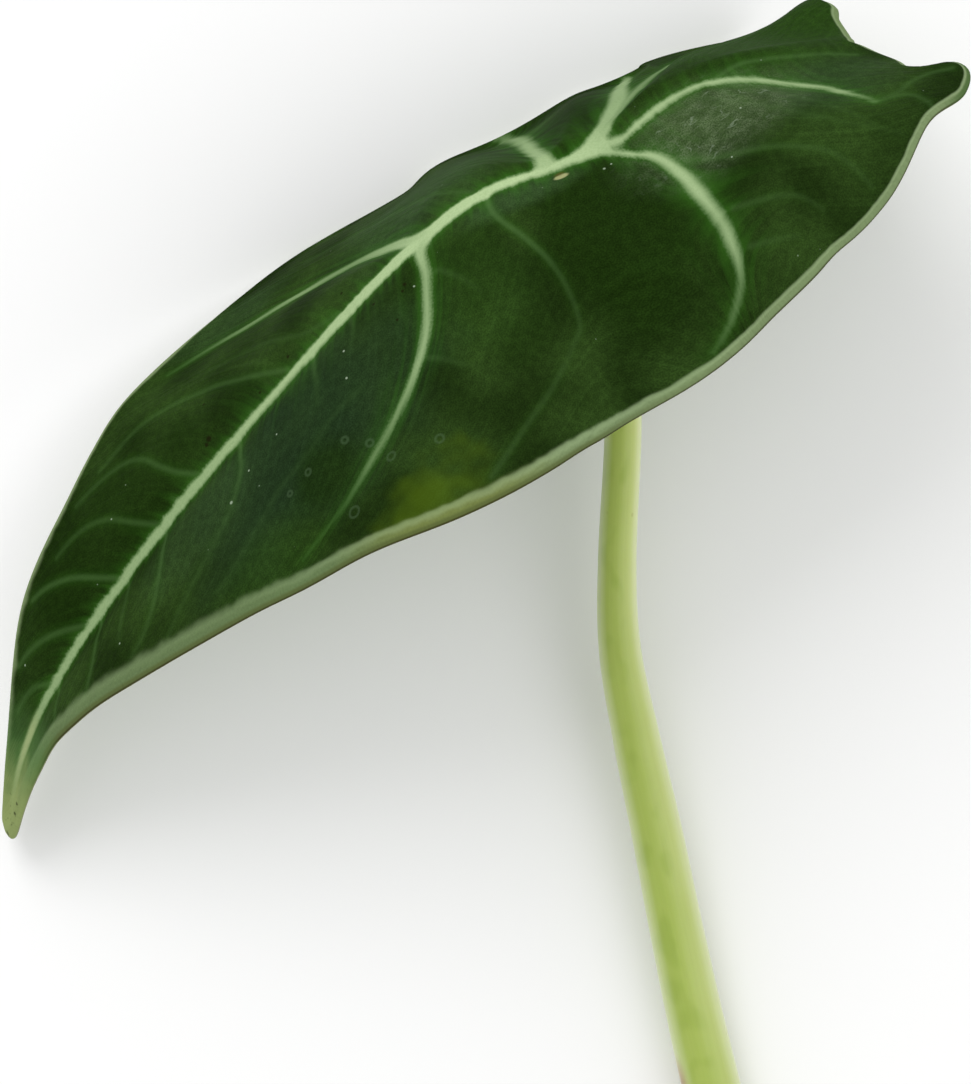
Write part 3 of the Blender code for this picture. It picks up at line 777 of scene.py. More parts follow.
@dataclass(frozen=True)
class VelvetFinish:
    """Velvety dark green upper face, with pale veins in bright green bands, patches of painted sheen and a
    painted highlight along the rim.
    """

    deep: Colour = from_srgb(26, 43, 12)
    mid: Colour = from_srgb(42, 64, 24)
    band: Colour = from_srgb(52, 102, 28)
    vein: Colour = from_srgb(175, 197, 148)
    side_vein: Colour = from_srgb(86, 118, 68)
    rim: Colour = from_srgb(108, 129, 86)
    rim_far: Colour = from_srgb(124, 144, 98)
    rim_warm: Colour = from_srgb(120, 132, 74)
    rim_rear: Colour = from_srgb(130, 150, 106)
    # painted highlight along the rolled rim's crest
    rim_crest: Colour = from_srgb(166, 188, 142)
    rim_curl: Colour = from_srgb(66, 94, 46)
    rim_lip: Colour = from_srgb(82, 92, 50)
    rim_edge: Colour = from_srgb(56, 52, 28)
    tip: Colour = from_srgb(141, 155, 98)
    tip_green: Colour = from_srgb(84, 122, 66)
    fold: Colour = from_srgb(146, 162, 112)
    yellowing: Colour = from_srgb(84, 110, 20)
    yellow_at: Pair = (51, 38.5)
    yellow_reach: Pair = (12.0, 7.0)
    # greyish patch behind the junction: painted sheen over real scuffing
    sheen_and_scuff: Colour = from_srgb(112, 130, 96)
    sheen_and_scuff_at: Pair = (-19, 10.5)
    sheen_and_scuff_reach: Pair = (22, 11.5)
    curl_at: Pair = (-57.5, 20.5)
    curl_radius: float = 9.0
    spots: SpotFinish = SpotFinish()

    def material(self, name: str) -> bpy.types.Material:
        """Builds the finish, layer over layer.

        Args:
            name: the material's name.

        Returns:
            A material that reads the blade's own attributes.
        """
        made, graph, shader = new_finish(
            name, Sheen_Weight=0.008, Sheen_Roughness=0.3, Sheen_Tint=(0.82, 0.88, 0.76, 1.0),
            Specular_IOR_Level=0.006, Subsurface_Weight=0.0,
        )
        leaf = BladeMarks(graph)
        mottle = graph.noise(leaf.flat, 0.75, 2.0)
        colour = graph.mix(graph.noise(leaf.flat, 0.07, 1.0).step(0.32, 0.70), self.deep, self.mid)
        colour = self.with_patches(graph, colour, leaf)
        colour = graph.shaded(colour, mottle.step(0.30, 0.72), 0.86, 1.14)
        colour = graph.shaded(colour, graph.noise(leaf.flat, 4.2, 1.0).step(0.32, 0.70), 0.78, 1.26)
        layers = (
            self.with_streaks, self.with_veins, self.with_sheen_and_scuff,
            self.with_marks, self.with_rim, self.with_tip,
        )
        for add in layers:
            colour = add(graph, colour, leaf)
        rough = 0.52 + mottle * 0.2 - leaf.gap.step(0.3, -0.2) * leaf.gain * 0.08
        coat(shader, colour, rough, self.relief(graph, leaf))
        return made

    def with_patches(self, graph: Graph, colour: Signal, leaf: BladeMarks) -> Signal:
        """Adds the broad soft tones of the leaf's panels, and patches of painted greyish sheen."""
        wave = (graph.noise(leaf.flat, 0.12, 1.0) - 0.5) * 0.5
        for centre, reach, tone, strength in TONE_AND_SHEEN_PATCHES:
            shown = (graph.away(leaf.flat, centre, reach) + wave).step(1.05, 0.35) * strength
            colour = graph.mix(shown, colour, tone.value)
        return colour

    def with_streaks(self, graph: Graph, colour: Signal, leaf: BladeMarks) -> Signal:
        """Adds the faint parallel streaks that run with the thin veins."""
        streak = graph.noise(graph.joined(leaf.stripe, leaf.half * 0.07), 0.9, 2.0)
        return graph.shaded(colour, streak.step(0.46, 0.74), (1, 1, 1, 1), (1.18, 1.18, 1.22, 1))

    def with_veins(self, graph: Graph, colour: Signal, leaf: BladeMarks) -> Signal:
        """Adds the main veins with their bright bands, and the thin veins."""
        feather = graph.noise(graph.joined(leaf.stripe, leaf.half * 0.12), 0.65, 3.0)
        speckle = graph.noise(leaf.flat, 2.4, 2.0)
        reach = leaf.reach * (0.35 + feather.step(0.34, 0.70) * 1.15)
        outside = graph.math("MAXIMUM", leaf.gap, 0.0)
        band = graph.math("EXPONENT", outside / reach * -1.1)
        band = graph.math("MULTIPLY", band, 0.15 + leaf.gain * 0.85, True)
        colour = graph.mix(band * 0.9, colour, self.band)
        barb = feather.step(0.58, 0.72) * outside.step(1.7, 0.0) * leaf.gain * 0.42
        colour = graph.mix(barb, colour, self.side_vein)
        colour = graph.mix(leaf.side_gap.step(1.9, 0.0) * (leaf.side_gain * 0.26), colour, self.band)
        colour = graph.mix(leaf.side_gap.step(0.85, 0.0) * leaf.side_gain * 0.42, colour, self.side_vein)
        wobble = (speckle - 0.5) * 0.65 - (feather - 0.5) * 1.1
        core = ((leaf.gap + wobble) / (0.45 + leaf.reach * 0.52)).step(0.48, -0.52)
        whiter = graph.math("SUBTRACT", leaf.gain * 1.18, 0.18, True)
        pale = graph.mix(whiter, self.side_vein, self.vein)
        pale = graph.shaded(pale, speckle.step(0.36, 0.62), (0.93, 0.95, 0.92, 1), 1.03)
        return graph.mix(core * leaf.gain.step(-0.1, 0.75), colour, pale)

    def with_sheen_and_scuff(self, graph: Graph, colour: Signal, leaf: BladeMarks) -> Signal:
        """Adds the greyish patch behind the stalk's junction: a veil of painted sheen over real scuffing,
        with fine hairlike scratches.
        """
        patch = graph.away(leaf.flat, self.sheen_and_scuff_at, self.sheen_and_scuff_reach).step(1.0, 0.35)
        patch = patch * leaf.gap.step(0.1, 0.9)
        worn = graph.noise(graph.stretched(leaf.flat, (0.8, 1.3, 1.0)), 0.5, 2.0)
        grain = graph.noise(leaf.flat, 3.8, 2.0)
        # painted sheen: a greyish veil, broken by the scuffed grain
        sheen_veil = (0.15 + worn.step(0.36, 0.7) * 0.2) * (0.35 + grain.step(0.3, 0.7) * 1.3)
        colour = graph.mix(patch * sheen_veil, colour, self.sheen_and_scuff)
        hair = abs(graph.noise(graph.stretched(leaf.flat, (0.5, 1.0, 1.0)), 0.42, 2.0) - 0.5)
        broken = patch * graph.noise(leaf.flat, 0.45, 2.0).step(0.52, 0.66)
        return graph.mix(hair.step(0.02, 0.003) * broken * 0.24, colour, self.spots.pale_colour)

    def with_marks(self, graph: Graph, colour: Signal, leaf: BladeMarks) -> Signal:
        """Adds the yellowing by the margin, the dust, the spots, the rings, and the scar with a painted
        shadow along one side.
        """
        spots = self.spots
        warped = (graph.noise(leaf.flat, 0.2, 1.0) - 0.5) * 1.4
        away = graph.away(leaf.flat, self.yellow_at, self.yellow_reach) + warped
        colour = graph.mix(away.step(1.1, 0.0) * 0.42, colour, self.yellowing)
        colour = graph.mix(graph.cells(leaf.flat, 0.2).step(0.034, 0.016) * 0.4, colour, spots.pale_colour)
        for u, v, radius in spots.pale:
            colour = graph.mix(graph.spot(leaf.flat, (u, v), radius, 3.0) * 0.7, colour, spots.pale_colour)
        for u, v, radius in spots.dark:
            spot = graph.spot(leaf.flat, (u, v), radius * spots.dark_spread, 2.0)
            colour = graph.mix(spot * 0.75, colour, spots.dark_colour)
        for u, v, radius in spots.rings:
            ring = abs(graph.away(leaf.flat, (u, v)) - radius)
            colour = graph.mix(ring.step(0.36, 0.04) * 0.19, colour, spots.ring_colour)
        u, v = spots.scar_at
        # painted shadow: a brown oval shifted to one side of the scar
        beside = (u, v + spots.scar_shadow_shift * spots.scar_reach[1])
        scar = graph.away(leaf.flat, spots.scar_at, spots.scar_reach).step(1.1, 0.6)
        shade = graph.away(leaf.flat, beside, spots.scar_reach).step(0.95, 0.2)
        colour = graph.mix(scar * 0.85, colour, spots.scar_colour)
        return graph.mix(shade * 0.6, colour, spots.scar_shadow)

    def with_rim(self, graph: Graph, colour: Signal, leaf: BladeMarks) -> Signal:
        """Adds the pale rolled rim with a painted highlight along its crest, its brownish edge and its curled
        stretch.
        """
        near_half = leaf.half.step(-2.0, 2.0)
        share = leaf.rim_in / leaf.rim_band + self.rim_wave(graph, leaf) * 0.5
        warm = graph.mix(leaf.run.step(28.0, 46.0), self.rim_rear, self.rim_warm)
        tint = graph.mix(near_half, self.rim_far, graph.mix(leaf.run.step(54.0, 72.0), warm, self.rim))
        tint = graph.shaded(tint, graph.noise(leaf.flat, 2.6, 1.0), 0.84, 1.16)
        colour = graph.mix(share.step(1.3, 0.35) * 0.78, colour, tint)
        # painted highlight: a whitish line along the rim's crest, stronger toward the leaf's base
        crest = share.step(0.2, 0.6) * share.step(1.15, 0.75) * (0.08 + leaf.run.step(90.0, 50.0) * 0.2)
        colour = graph.mix(crest, colour, self.rim_crest)
        lip = leaf.rim_in.step(0.35, -0.2) * leaf.run.step(-10.0, 30.0) * near_half
        colour = graph.mix(lip * 0.75, colour, self.rim_lip)
        colour = graph.mix(leaf.rim_in.step(-0.35, -0.58) * near_half * 0.8, colour, self.rim_edge)
        curl = leaf.rim_in.step(0.25, -0.1) * graph.spot(leaf.flat, self.curl_at, self.curl_radius, 1.0)
        return graph.mix(curl * 0.8, colour, self.rim_curl)

    def with_tip(self, graph: Graph, colour: Signal, leaf: BladeMarks) -> Signal:
        """Turns the tip olive, with its pale fold and its freckles."""
        fade = leaf.run + self.rim_wave(graph, leaf) * 5.0 - (1.0 - leaf.half.step(-2.0, 2.0)) * 4.0
        colour = graph.mix(fade.step(122.0, 135.0) * 0.6, colour, self.tip_green)
        colour = graph.mix(fade.step(130.0, 145.0) * 0.92, colour, self.tip)
        fold = leaf.gap.step(0.7, -0.5) * leaf.run.step(126.0, 132.0) * leaf.run.step(147.0, 134.0)
        colour = graph.mix(fold, colour, self.fold)
        freckle = graph.noise(leaf.flat, 1.3, 1.0).step(0.64, 0.74) * leaf.run.step(140.0, 146.0)
        colour = graph.mix(freckle * 0.4, colour, self.spots.dark_colour)
        for u, v, radius in self.spots.on_tip:
            spot = graph.spot(leaf.flat, (u, v), radius, 2.0)
            colour = graph.mix(spot * 0.7, colour, self.spots.dark_colour)
        return colour

    @staticmethod
    def rim_wave(graph: Graph, leaf: BladeMarks) -> Signal:
        """Slow unevenness of the rim's width and of where the tip's tone starts."""
        return graph.noise(leaf.flat, 0.35, 1.0) - 0.5

    @staticmethod
    def relief(graph: Graph, leaf: BladeMarks) -> Signal:
        """Normal of the fine relief: raised streaks, soft dimples and the velvet's grain."""
        low = graph.bump(graph.noise(graph.joined(leaf.stripe, leaf.half * 0.06), 0.8, 1.0), 0.0005, 0.5)
        middle = graph.bump(graph.noise(leaf.flat, 1.1, 1.0), 0.0002, 0.4, low)
        return graph.bump(graph.noise(leaf.flat, 5.0, 1.0), 0.0001, 0.4, middle)


@dataclass(frozen=True)
class UndersideFinish:
    """Matte lighter green underside, with pale ribs."""

    lamina: Colour = from_srgb(98, 126, 72)
    deep: Colour = from_srgb(78, 106, 56)
    rib: Colour = from_srgb(168, 186, 126)
    rim: Colour = from_srgb(134, 152, 98)
    blush: Colour = from_srgb(112, 96, 66)

    def material(self, name: str) -> bpy.types.Material:
        """Builds the finish, which reads the blade's own attributes."""
        made, graph, shader = new_finish(
            name, Sheen_Weight=0.08, Sheen_Roughness=0.5, Specular_IOR_Level=0.35, Subsurface_Weight=0.0,
        )
        leaf = BladeMarks(graph)
        cloud = graph.noise(leaf.flat, 0.07, 3.0)
        colour = graph.mix(cloud.step(0.35, 0.68), self.deep, self.lamina)
        net = graph.cells(leaf.flat, 0.7, feature="DISTANCE_TO_EDGE", voronoi_dimensions="2D")
        layers = (
            (net.step(0.10, 0.0) * 0.22, self.rib),
            (leaf.side_gap.step(1.3, 0.2) * 0.5, self.rib),
            (leaf.gap.step(1.6, -0.2) * (0.5 + leaf.gain * 0.5), self.rib),
            (leaf.rim_in.step(2.6, 1.0) * 0.7, self.rim),
            (leaf.rim_in.step(0.7, 0.1) * 0.45, self.blush),
        )
        for shown, shade in layers:
            colour = graph.mix(shown, colour, shade)
        coat(shader, colour, 0.42 + cloud * 0.2, graph.bump(graph.noise(leaf.flat, 1.6, 1.0), 0.0002, 0.35))
        return made


@dataclass(frozen=True)
class RibFinish:
    """Pale ribs of the thin veins under the blade."""

    pale: Colour = from_srgb(164, 183, 122)
    green: Colour = from_srgb(142, 165, 102)

    def material(self, name: str) -> bpy.types.Material:
        """Builds the finish over the piece's Object coordinates."""
        made, graph, shader = new_finish(name, Specular_IOR_Level=0.35, Roughness=0.48)
        place = graph.place()
        colour = graph.mix(graph.noise(place, 160.0, 3.0).step(0.35, 0.65), self.green, self.pale)
        coat(shader, colour, normal=graph.bump(graph.noise(place, 2500.0, 2.0), 0.00008, 0.3))
        return made


@dataclass(frozen=True)
class StalkFinish:
    """Smooth light green stalk with soft darker blotches across it, and its moist cut end; painted light
    makes one side and both edges paler, and the top under the blade lighter.
    """

    skin: Colour = from_srgb(160, 178, 84)
    deep: Colour = from_srgb(138, 160, 60)
    # painted light: colour of the side whose surface faces +x
    pale: Colour = from_srgb(184, 196, 122)
    sheath: Colour = from_srgb(150, 96, 58)
    bruise: Colour = from_srgb(140, 130, 62)
    blush_at: Place = (0.0328, -0.0615, 0.005)
    # painted light: pale edges where the stalk's surface turns sideways
    painted_edge_light: Colour = from_srgb(214, 222, 178)
    flesh: Colour = from_srgb(214, 220, 172)
    strand: Colour = from_srgb(150, 172, 96)
    # painted light: lightens the top, where the blade's shadow falls
    painted_top_light: Colour = (1.14, 1.12, 1.16, 1)

    def material(self, name: str) -> bpy.types.Material:
        """Builds the finish over the piece's Object coordinates and its own attributes."""
        made, graph, shader = new_finish(
            name, Specular_IOR_Level=0.3, Subsurface_Weight=0.3, Subsurface_Radius=(0.7, 1.0, 0.35),
            Subsurface_Scale=0.003, Sheen_Weight=0.6, Sheen_Roughness=0.35,
        )
        place, ring = graph.place(), graph.attribute("ring", "Vector")
        run, turned = graph.attribute("run"), graph.attribute("turned")
        cloud = graph.noise(graph.stretched(place, (40.0, 60.0, 40.0)), 1.0, 2.0)
        # painted light: paler toward the side whose surface faces +x
        colour = graph.mix((turned + (cloud - 0.5) * 0.8).step(-0.25, 1.0), self.skin, self.pale)
        blotch = graph.noise(graph.joined(run * 0.16, turned * 1.1), 1.0, 1.0)
        colour = graph.mix(blotch.step(0.50, 0.72) * turned.step(0.55, -0.1) * 0.5, colour, self.deep)
        # painted light: pale edges where the surface faces sideways
        colour = graph.mix(abs(turned).step(0.5, 1.0) * 0.6, colour, self.painted_edge_light)
        # painted light: lighter toward the top, against the blade's shadow
        colour = graph.mix(run.step(125.0, 45.0), colour, self.painted_top_light, "MULTIPLY")
        along = graph.vector("ADD", graph.vector("SCALE", ring, 9.0), graph.joined(0.0, 0.0, run * 0.05))
        fibre = graph.noise(along, 1.0, 2.0)
        colour = graph.shaded(colour, fibre.step(0.35, 0.65), (0.99, 0.99, 0.98, 1), 1.01)
        speck = graph.cells(graph.stretched(place, (180.0, 120.0, 180.0)), 1.0)
        colour = graph.mix(speck.step(0.07, 0.03) * 0.3, colour, self.bruise)
        from_blush = graph.stretched(graph.vector("SUBTRACT", place, self.blush_at), (400.0, 110.0, 200.0))
        blush = graph.vector("LENGTH", from_blush, output="Value").step(1.0, 0.4)
        colour = graph.mix(blush * 0.7, colour, self.sheath)
        pores = graph.cells(graph.stretched(place, (1300.0, 1300.0, 1300.0)), 1.0)
        flesh = graph.mix(pores.step(0.45, 0.2), self.flesh, self.strand)
        colour = graph.mix(graph.attribute("cut"), colour, flesh)
        low = graph.bump(fibre, 0.0001, 0.2)
        fine = graph.bump(graph.noise(place, 1500.0, 3.0), 0.00005, 0.2, low)
        coat(shader, colour, 0.34 + cloud * 0.16, fine)
        return made


@dataclass(frozen=True)
class FloorFinish:
    """Plain matte white surface."""

    white: Colour = (0.90, 0.90, 0.90, 1.0)
    pale: Colour = (0.91, 0.91, 0.91, 1.0)

    def material(self, name: str) -> bpy.types.Material:
        """Builds the finish, with a very slight unevenness."""
        made, graph, shader = new_finish(name, Roughness=0.9, Specular_IOR_Level=0.1)
        coat(shader, graph.mix(graph.noise(graph.place(), 1.5, 2.0), self.white, self.pale))
        return made


class TreeKit:
    """Makes node trees for geometry and turns their results into plain meshes."""

    @staticmethod
    def new(name: str, sizes: dict[str, float]) -> tuple[bpy.types.NodeTree, Graph, dict[str, Signal]]:
        """A new tree with a geometry input and named sizes.

        Args:
            name: the tree's name.
            sizes: each size's name and its first value.

        Returns:
            The tree, a way to add nodes to it, and its inputs by name.
        """
        tree = bpy.data.node_groups.new(name, "GeometryNodeTree")
        tree.interface.new_socket("Geometry", in_out="INPUT", socket_type="NodeSocketGeometry")
        for key, value in sizes.items():
            socket = tree.interface.new_socket(key, in_out="INPUT", socket_type="NodeSocketFloat")
            socket.default_value = value
        tree.interface.new_socket("Geometry", in_out="OUTPUT", socket_type="NodeSocketGeometry")
        graph = Graph(tree)
        entry = graph.node("NodeGroupInput")
        return tree, graph, {socket.name: Signal(graph, socket) for socket in entry.outputs if socket.name}

    @staticmethod
    def finish(graph: Graph, geometry: object, material: bpy.types.Material) -> None:
        """Ends a tree: smooth shading, real instances, the material and the output."""
        smooth_shade = graph.signal("GeometryNodeSetShadeSmooth", 0, {"Geometry": geometry})
        real = graph.signal("GeometryNodeRealizeInstances", 0, {"Geometry": smooth_shade})
        dressed = graph.signal("GeometryNodeSetMaterial", 0, {"Geometry": real, "Material": material})
        graph.node("NodeGroupOutput", {"Geometry": dressed})

    @staticmethod
    def run(piece: bpy.types.Object, tree: bpy.types.NodeTree, sizes: dict[str, float]) -> None:
        """Runs a tree on a piece and keeps the result as its plain mesh.

        Args:
            piece: the object whose mesh goes in, and which gets the result.
            tree: the tree to run.
            sizes: values for the tree's named inputs.
        """
        modifier = piece.modifiers.new(tree.name, "NODES")
        modifier.node_group = tree
        for item in tree.interface.items_tree:
            if item.item_type == "SOCKET" and item.in_out == "INPUT" and item.name in sizes:
                modifier[item.identifier] = float(sizes[item.name])
        bpy.context.view_layer.update()
        state = bpy.context.evaluated_depsgraph_get()
        shown = piece.evaluated_get(state)
        result = bpy.data.meshes.new_from_object(shown, preserve_all_data_layers=True, depsgraph=state)
        piece.modifiers.remove(modifier)
        old = piece.data
        piece.data = result
        result.name = piece.name
        bpy.data.meshes.remove(old)


def new_piece(name: str, points: np.ndarray, faces: Sequence = (), edges: Sequence = ()) -> bpy.types.Object:
    """An object in the scene from points in millimetres.

    Args:
        name: the piece's name.
        points: places in millimetres, one a row.
        faces: corner numbers of each face.
        edges: end numbers of each loose edge.

    Returns:
        The new object, at the origin.
    """
    mesh = bpy.data.meshes.new(name)
    mesh.from_pydata(np.asarray(points, float) * MM, list(edges), list(faces))
    piece = bpy.data.objects.new(name, mesh)
    bpy.context.scene.collection.objects.link(piece)
    return piece


def set_attribute(piece: bpy.types.Object, name: str, values: np.ndarray) -> None:
    """Stores a number or a vector for each point of a piece."""
    values = np.asarray(values, np.float32)
    kind, field = ("FLOAT", "value") if values.ndim == 1 else ("FLOAT_VECTOR", "vector")
    piece.data.attributes.new(name, kind, "POINT").data.foreach_set(field, values.ravel())


def face_outward(piece: bpy.types.Object) -> None:
    """Turns all faces of a closed piece outward."""
    shape = bmesh.new()
    shape.from_mesh(piece.data)
    bmesh.ops.recalc_face_normals(shape, faces=shape.faces)
    shape.to_mesh(piece.data)
    shape.free()


@dataclass
class Blade:
    """The blade: two finely divided faces joined round a rolled rim, in millimetres."""

    form: LeafForm
    thick: float = 1.0
    rim_wide: float = 2.4
    rim_crest: float = 1.08
    rim_thick: float = 1.7
    rim_edge_thick: float = 1.0
    rim_outset: float = 0.6
    rib_spread: float = 1.6
    boss_radius: float = 3.5
    boss_foot_radius: float = 8.5
    edge_step: float = 0.62
    upper_step: float = 0.55
    lower_step: float = 0.85
    rim_rows: int = 5
    side_valley: float = 0.22
    side_reach: float = 1.1
    boss_power: float = 1.6
    boss_rings: Sequence[float] = (0.8, 1.6, 2.4, 3.0, 3.5, 3.9, 4.3, 4.8, 5.4, 6.1, 6.9, 7.8)
    boss_ring_spacing: float = 0.5
    edge_rows: Sequence[float] = (0.4, 0.8, 1.2, 1.7, 2.3)
    edge_row_clear: float = 0.85
    edge_row_spacing: float = 0.32
    line_clear: float = 0.45
    field_clear: float = 0.62
    field_inset: float = 0.5
    field_box: tuple[Pair, Pair] = ((-60, 153), (-48, 49))
    notch_line: float = 1.5
    read_step: float = 1.0
    vein_join: float = 0.4
    side_join: float = 0.12
    core_crest: float = 0.25
    core_crest_edge: Pair = (0.25, -0.9)
    near_rim_band: Table = (
        (-58, 0.5), (-20, 0.7), (5, 1.0), (25, 1.5), (45, 1.9), (60, 1.8), (85, 2.4), (110, 2.7), (128, 2.2),
        (152, 1.5),
    )
    far_rim_band: Table = (
        (-60, 0.7), (0, 0.8), (60, 0.9), (85, 1.1), (105, 1.3), (120, 1.6), (140, 1.5), (152, 1.5),
    )
    puff: float = 0.7
    puff_reach: float = 6.0
    pucker_height: float = 0.00035
    pucker_size: float = 0.011
    pucker_seed: float = 3.0
    calm_width: float = 5.0
    map_side: float = 222.0
    map_corner: Pair = (-63.5, -49.0)
    map_apart: float = 101.0
    map_row: float = 0.4

    def marks(self, flat: np.ndarray) -> dict[str, np.ndarray]:
        """What the finishes and the relief read at flat points.

        Args:
            flat: flat points, one a row.

        Returns:
            The gap to the pale core of the main veins and their paleness, the
            same of the thin veins, the distance from the edge, where the thin
            vein through each point leaves the midrib, and the flat place.
        """
        edge = self.form.outline(self.edge_step)
        rim_in, _ = nearest(flat, np.vstack([edge, edge[:1]]))
        gaps, pales, bands = [], [], []
        for vein in MAIN_VEINS.values():
            rows = through(vein.course, self.read_step)
            away, part = nearest(flat, rows)
            gaps.append(away - read_at(rows, 2, part))
            pales.append(read_at(rows, 3, part))
            bands.append(read_at(rows, 4, part))
        gap, share = soft_least(np.array(gaps), self.vein_join)
        side_gaps, side_pales = [], []
        for vein in SIDE_VEINS:
            away, part = nearest(flat, through(vein.route, self.read_step))
            side_gaps.append(away)
            side_pales.append(blend(vein.paleness, part))
        side_gap, side_share = soft_least(np.array(side_gaps), self.side_join)
        u, v = flat[:, 0], flat[:, 1]
        return {
            "vein_gap": gap,
            "vein_gain": (share * np.array(pales)).sum(axis=0),
            "band_reach": (share * np.array(bands)).sum(axis=0),
            "side_gap": np.maximum(side_gap, 0),
            "side_gain": (side_share * np.array(side_pales)).sum(axis=0),
            "rim_in": rim_in,
            "rim_band": np.where(v >= 0, smooth(self.near_rim_band, 1, u), smooth(self.far_rim_band, 1, u)),
            "stripe": u - self.form.side_shift(flat),
            "flat": np.column_stack([flat, np.zeros(len(flat))]),
        }

    def valleys_and_ribs(self, flat: np.ndarray) -> tuple[np.ndarray, np.ndarray]:
        """Depth of the valleys that hold the veins, and height of the ribs below."""
        valleys, ribs = [], []
        for vein in MAIN_VEINS.values():
            away, part = nearest(flat, through(vein.course, self.read_step))
            depth, reach = blend(vein.valley_depth, part), blend(vein.valley_reach, part)
            valleys.append(depth * np.exp(-((away / reach) ** 2)))
            share = np.clip(away / (self.rib_spread * blend(vein.rib_half_width, part)), 0, 1)
            ribs.append(blend(vein.rib_height, part) * (1 + np.cos(math.pi * share)) / 2)
        return soft_most(np.array(valleys)), soft_most(np.array(ribs))

    def faces(self, flat: np.ndarray, marks: dict[str, np.ndarray]) -> dict[Face, np.ndarray]:
        """Places of flat points on both faces, in the leaf's axes.

        Args:
            flat: flat points, one a row.
            marks: what marks() gives for them.

        Returns:
            The places on each face.
        """
        rim_in = marks["rim_in"]
        outer = ease(0, self.rim_crest, rim_in) * (self.rim_thick - self.rim_edge_thick) + self.rim_edge_thick
        inner = ease(self.rim_wide, self.rim_crest, rim_in) * (self.rim_thick - self.thick) + self.thick
        full = np.where(rim_in < self.rim_crest, outer, inner)
        valley, rib = self.valleys_and_ribs(flat)
        quiet = np.clip(rim_in / (2 * self.rim_wide), 0, 1)
        quiet = quiet * (2 - quiet)
        side = marks["side_gain"] * np.exp(-((marks["side_gap"] / self.side_reach) ** 2))
        from_vein = np.maximum(marks["vein_gap"], 0) / self.puff_reach
        swell = self.puff * (1 - np.exp(-(from_vein**2))) - self.puff / 2
        raised = (swell - self.side_valley * 2 * side) * quiet
        crest = self.core_crest * marks["vein_gain"] * ease(*self.core_crest_edge, marks["vein_gap"]) * quiet
        base = self.form.bent(flat)
        n = self.form.out_of_face(flat)
        up = base + n * (full / 2 - valley * quiet + raised + crest)[:, None]
        low = base - n * (full / 2 + (valley + rib) * quiet - raised)[:, None]
        seat, down = self.form.boss_seat()
        on_boss = ease(self.boss_foot_radius, self.boss_radius, np.hypot(*flat.T)) ** self.boss_power
        to_plane = np.maximum((seat - low) @ down, 0)
        return {Face.UPPER: up, Face.LOWER: low + (to_plane * on_boss)[:, None] * down}

    def sheet(self, step: float) -> tuple[np.ndarray, list[tuple[int, int, int]], int]:
        """Flat points and triangles of one face.

        Args:
            step: spacing of its points.

        Returns:
            The points, the triangles, and how many of the first points are the edge.
        """
        edge = self.form.outline(self.edge_step)
        out = outward(edge)
        closed = np.vstack([edge, edge[:1]])
        picker = Picker(edge, self.line_clear * step)
        routes = [[row[:2] for row in vein.course] for vein in MAIN_VEINS.values()]
        routes.append([(0, 0), (self.form.half_outline[0][0] + self.notch_line, 0)])
        routes += [vein.route for vein in SIDE_VEINS]
        lines = [picker.take_line(through(route, step)) for route in routes]
        for radius in self.boss_rings:
            turn = np.arange(0, 2 * math.pi, self.boss_ring_spacing / radius)
            picker.take(radius * np.stack([np.cos(turn), np.sin(turn)], axis=-1))
        for inward in self.edge_rows:
            row = edge - out * inward
            away, _ = nearest(row, closed)
            picker.take(row[away > self.edge_row_clear * inward], self.edge_row_spacing)
        grid = self.grid(step)
        away, _ = nearest(grid, closed)
        picker.take(grid[inside(grid, edge) & (away > self.field_inset * step)], self.field_clear * step)
        edges = [pair for line in lines for pair in zip(line, line[1:])]
        points = [Vector(p) for p in picker.kept]
        found = delaunay_2d_cdt(points, edges, [list(range(len(edge)))], 1, 1e-5)
        return np.array([tuple(p) for p in found[0]]), found[2], len(edge)

    def grid(self, step: float) -> np.ndarray:
        """Staggered grid of flat points over the whole blade."""
        (back, front), (far, near) = self.field_box
        rows = []
        for k, v in enumerate(np.arange(far, near, step * math.sqrt(3) / 2)):
            u = np.arange(back + (step / 2 if k % 2 else 0), front, step)
            rows.append(np.stack([u, np.full(len(u), v)], axis=-1))
        return np.vstack(rows)

    def build(self) -> bpy.types.Object:
        """Builds the blade's closed mesh with its attributes and both finishes.

        Returns:
            The finished piece.
        """
        upper_flat, upper_faces, border = self.sheet(self.upper_step)
        lower_flat, lower_faces, _ = self.sheet(self.lower_step)
        upper_marks, lower_marks = self.marks(upper_flat), self.marks(lower_flat)
        up = self.faces(upper_flat, upper_marks)[Face.UPPER]
        low = self.faces(lower_flat, lower_marks)[Face.LOWER]
        rows, row_marks = self.rim_between(upper_flat[:border], up[:border], low[:border])
        points = self.form.lie(np.vstack([up, *rows, low]))
        points[:, 2] = np.maximum(points[:, 2], 0)
        first_row = len(up)
        first_low = first_row + border * len(rows)
        faces = [tuple(face) for face in upper_faces]
        rings = [np.arange(border)] + [first_row + border * k + np.arange(border) for k in range(len(rows))]
        rings.append(first_low + np.arange(border))
        split = len(rows) // 2 + 1
        upper_count = len(faces)
        for number, (a, b) in enumerate(zip(rings, rings[1:])):
            for k in range(border):
                j = (k + 1) % border
                faces.append((a[j], a[k], b[k], b[j]))
            if number < split:
                upper_count = len(faces)
        faces += [(c + first_low, b + first_low, a + first_low) for a, b, c in lower_faces]
        piece = new_piece("leaf_blade_fine", points, faces)
        for name in upper_marks:
            rim_values = [values[name] for values in row_marks]
            set_attribute(piece, name, np.concatenate([upper_marks[name], *rim_values, lower_marks[name]]))
        face_outward(piece)
        self.lay_out(piece, upper_count, upper_flat, lower_flat, border)
        self.dress(piece, upper_count)
        self.pucker(piece)
        LOG.info("blade: %d points, %d faces", len(piece.data.vertices), len(piece.data.polygons))
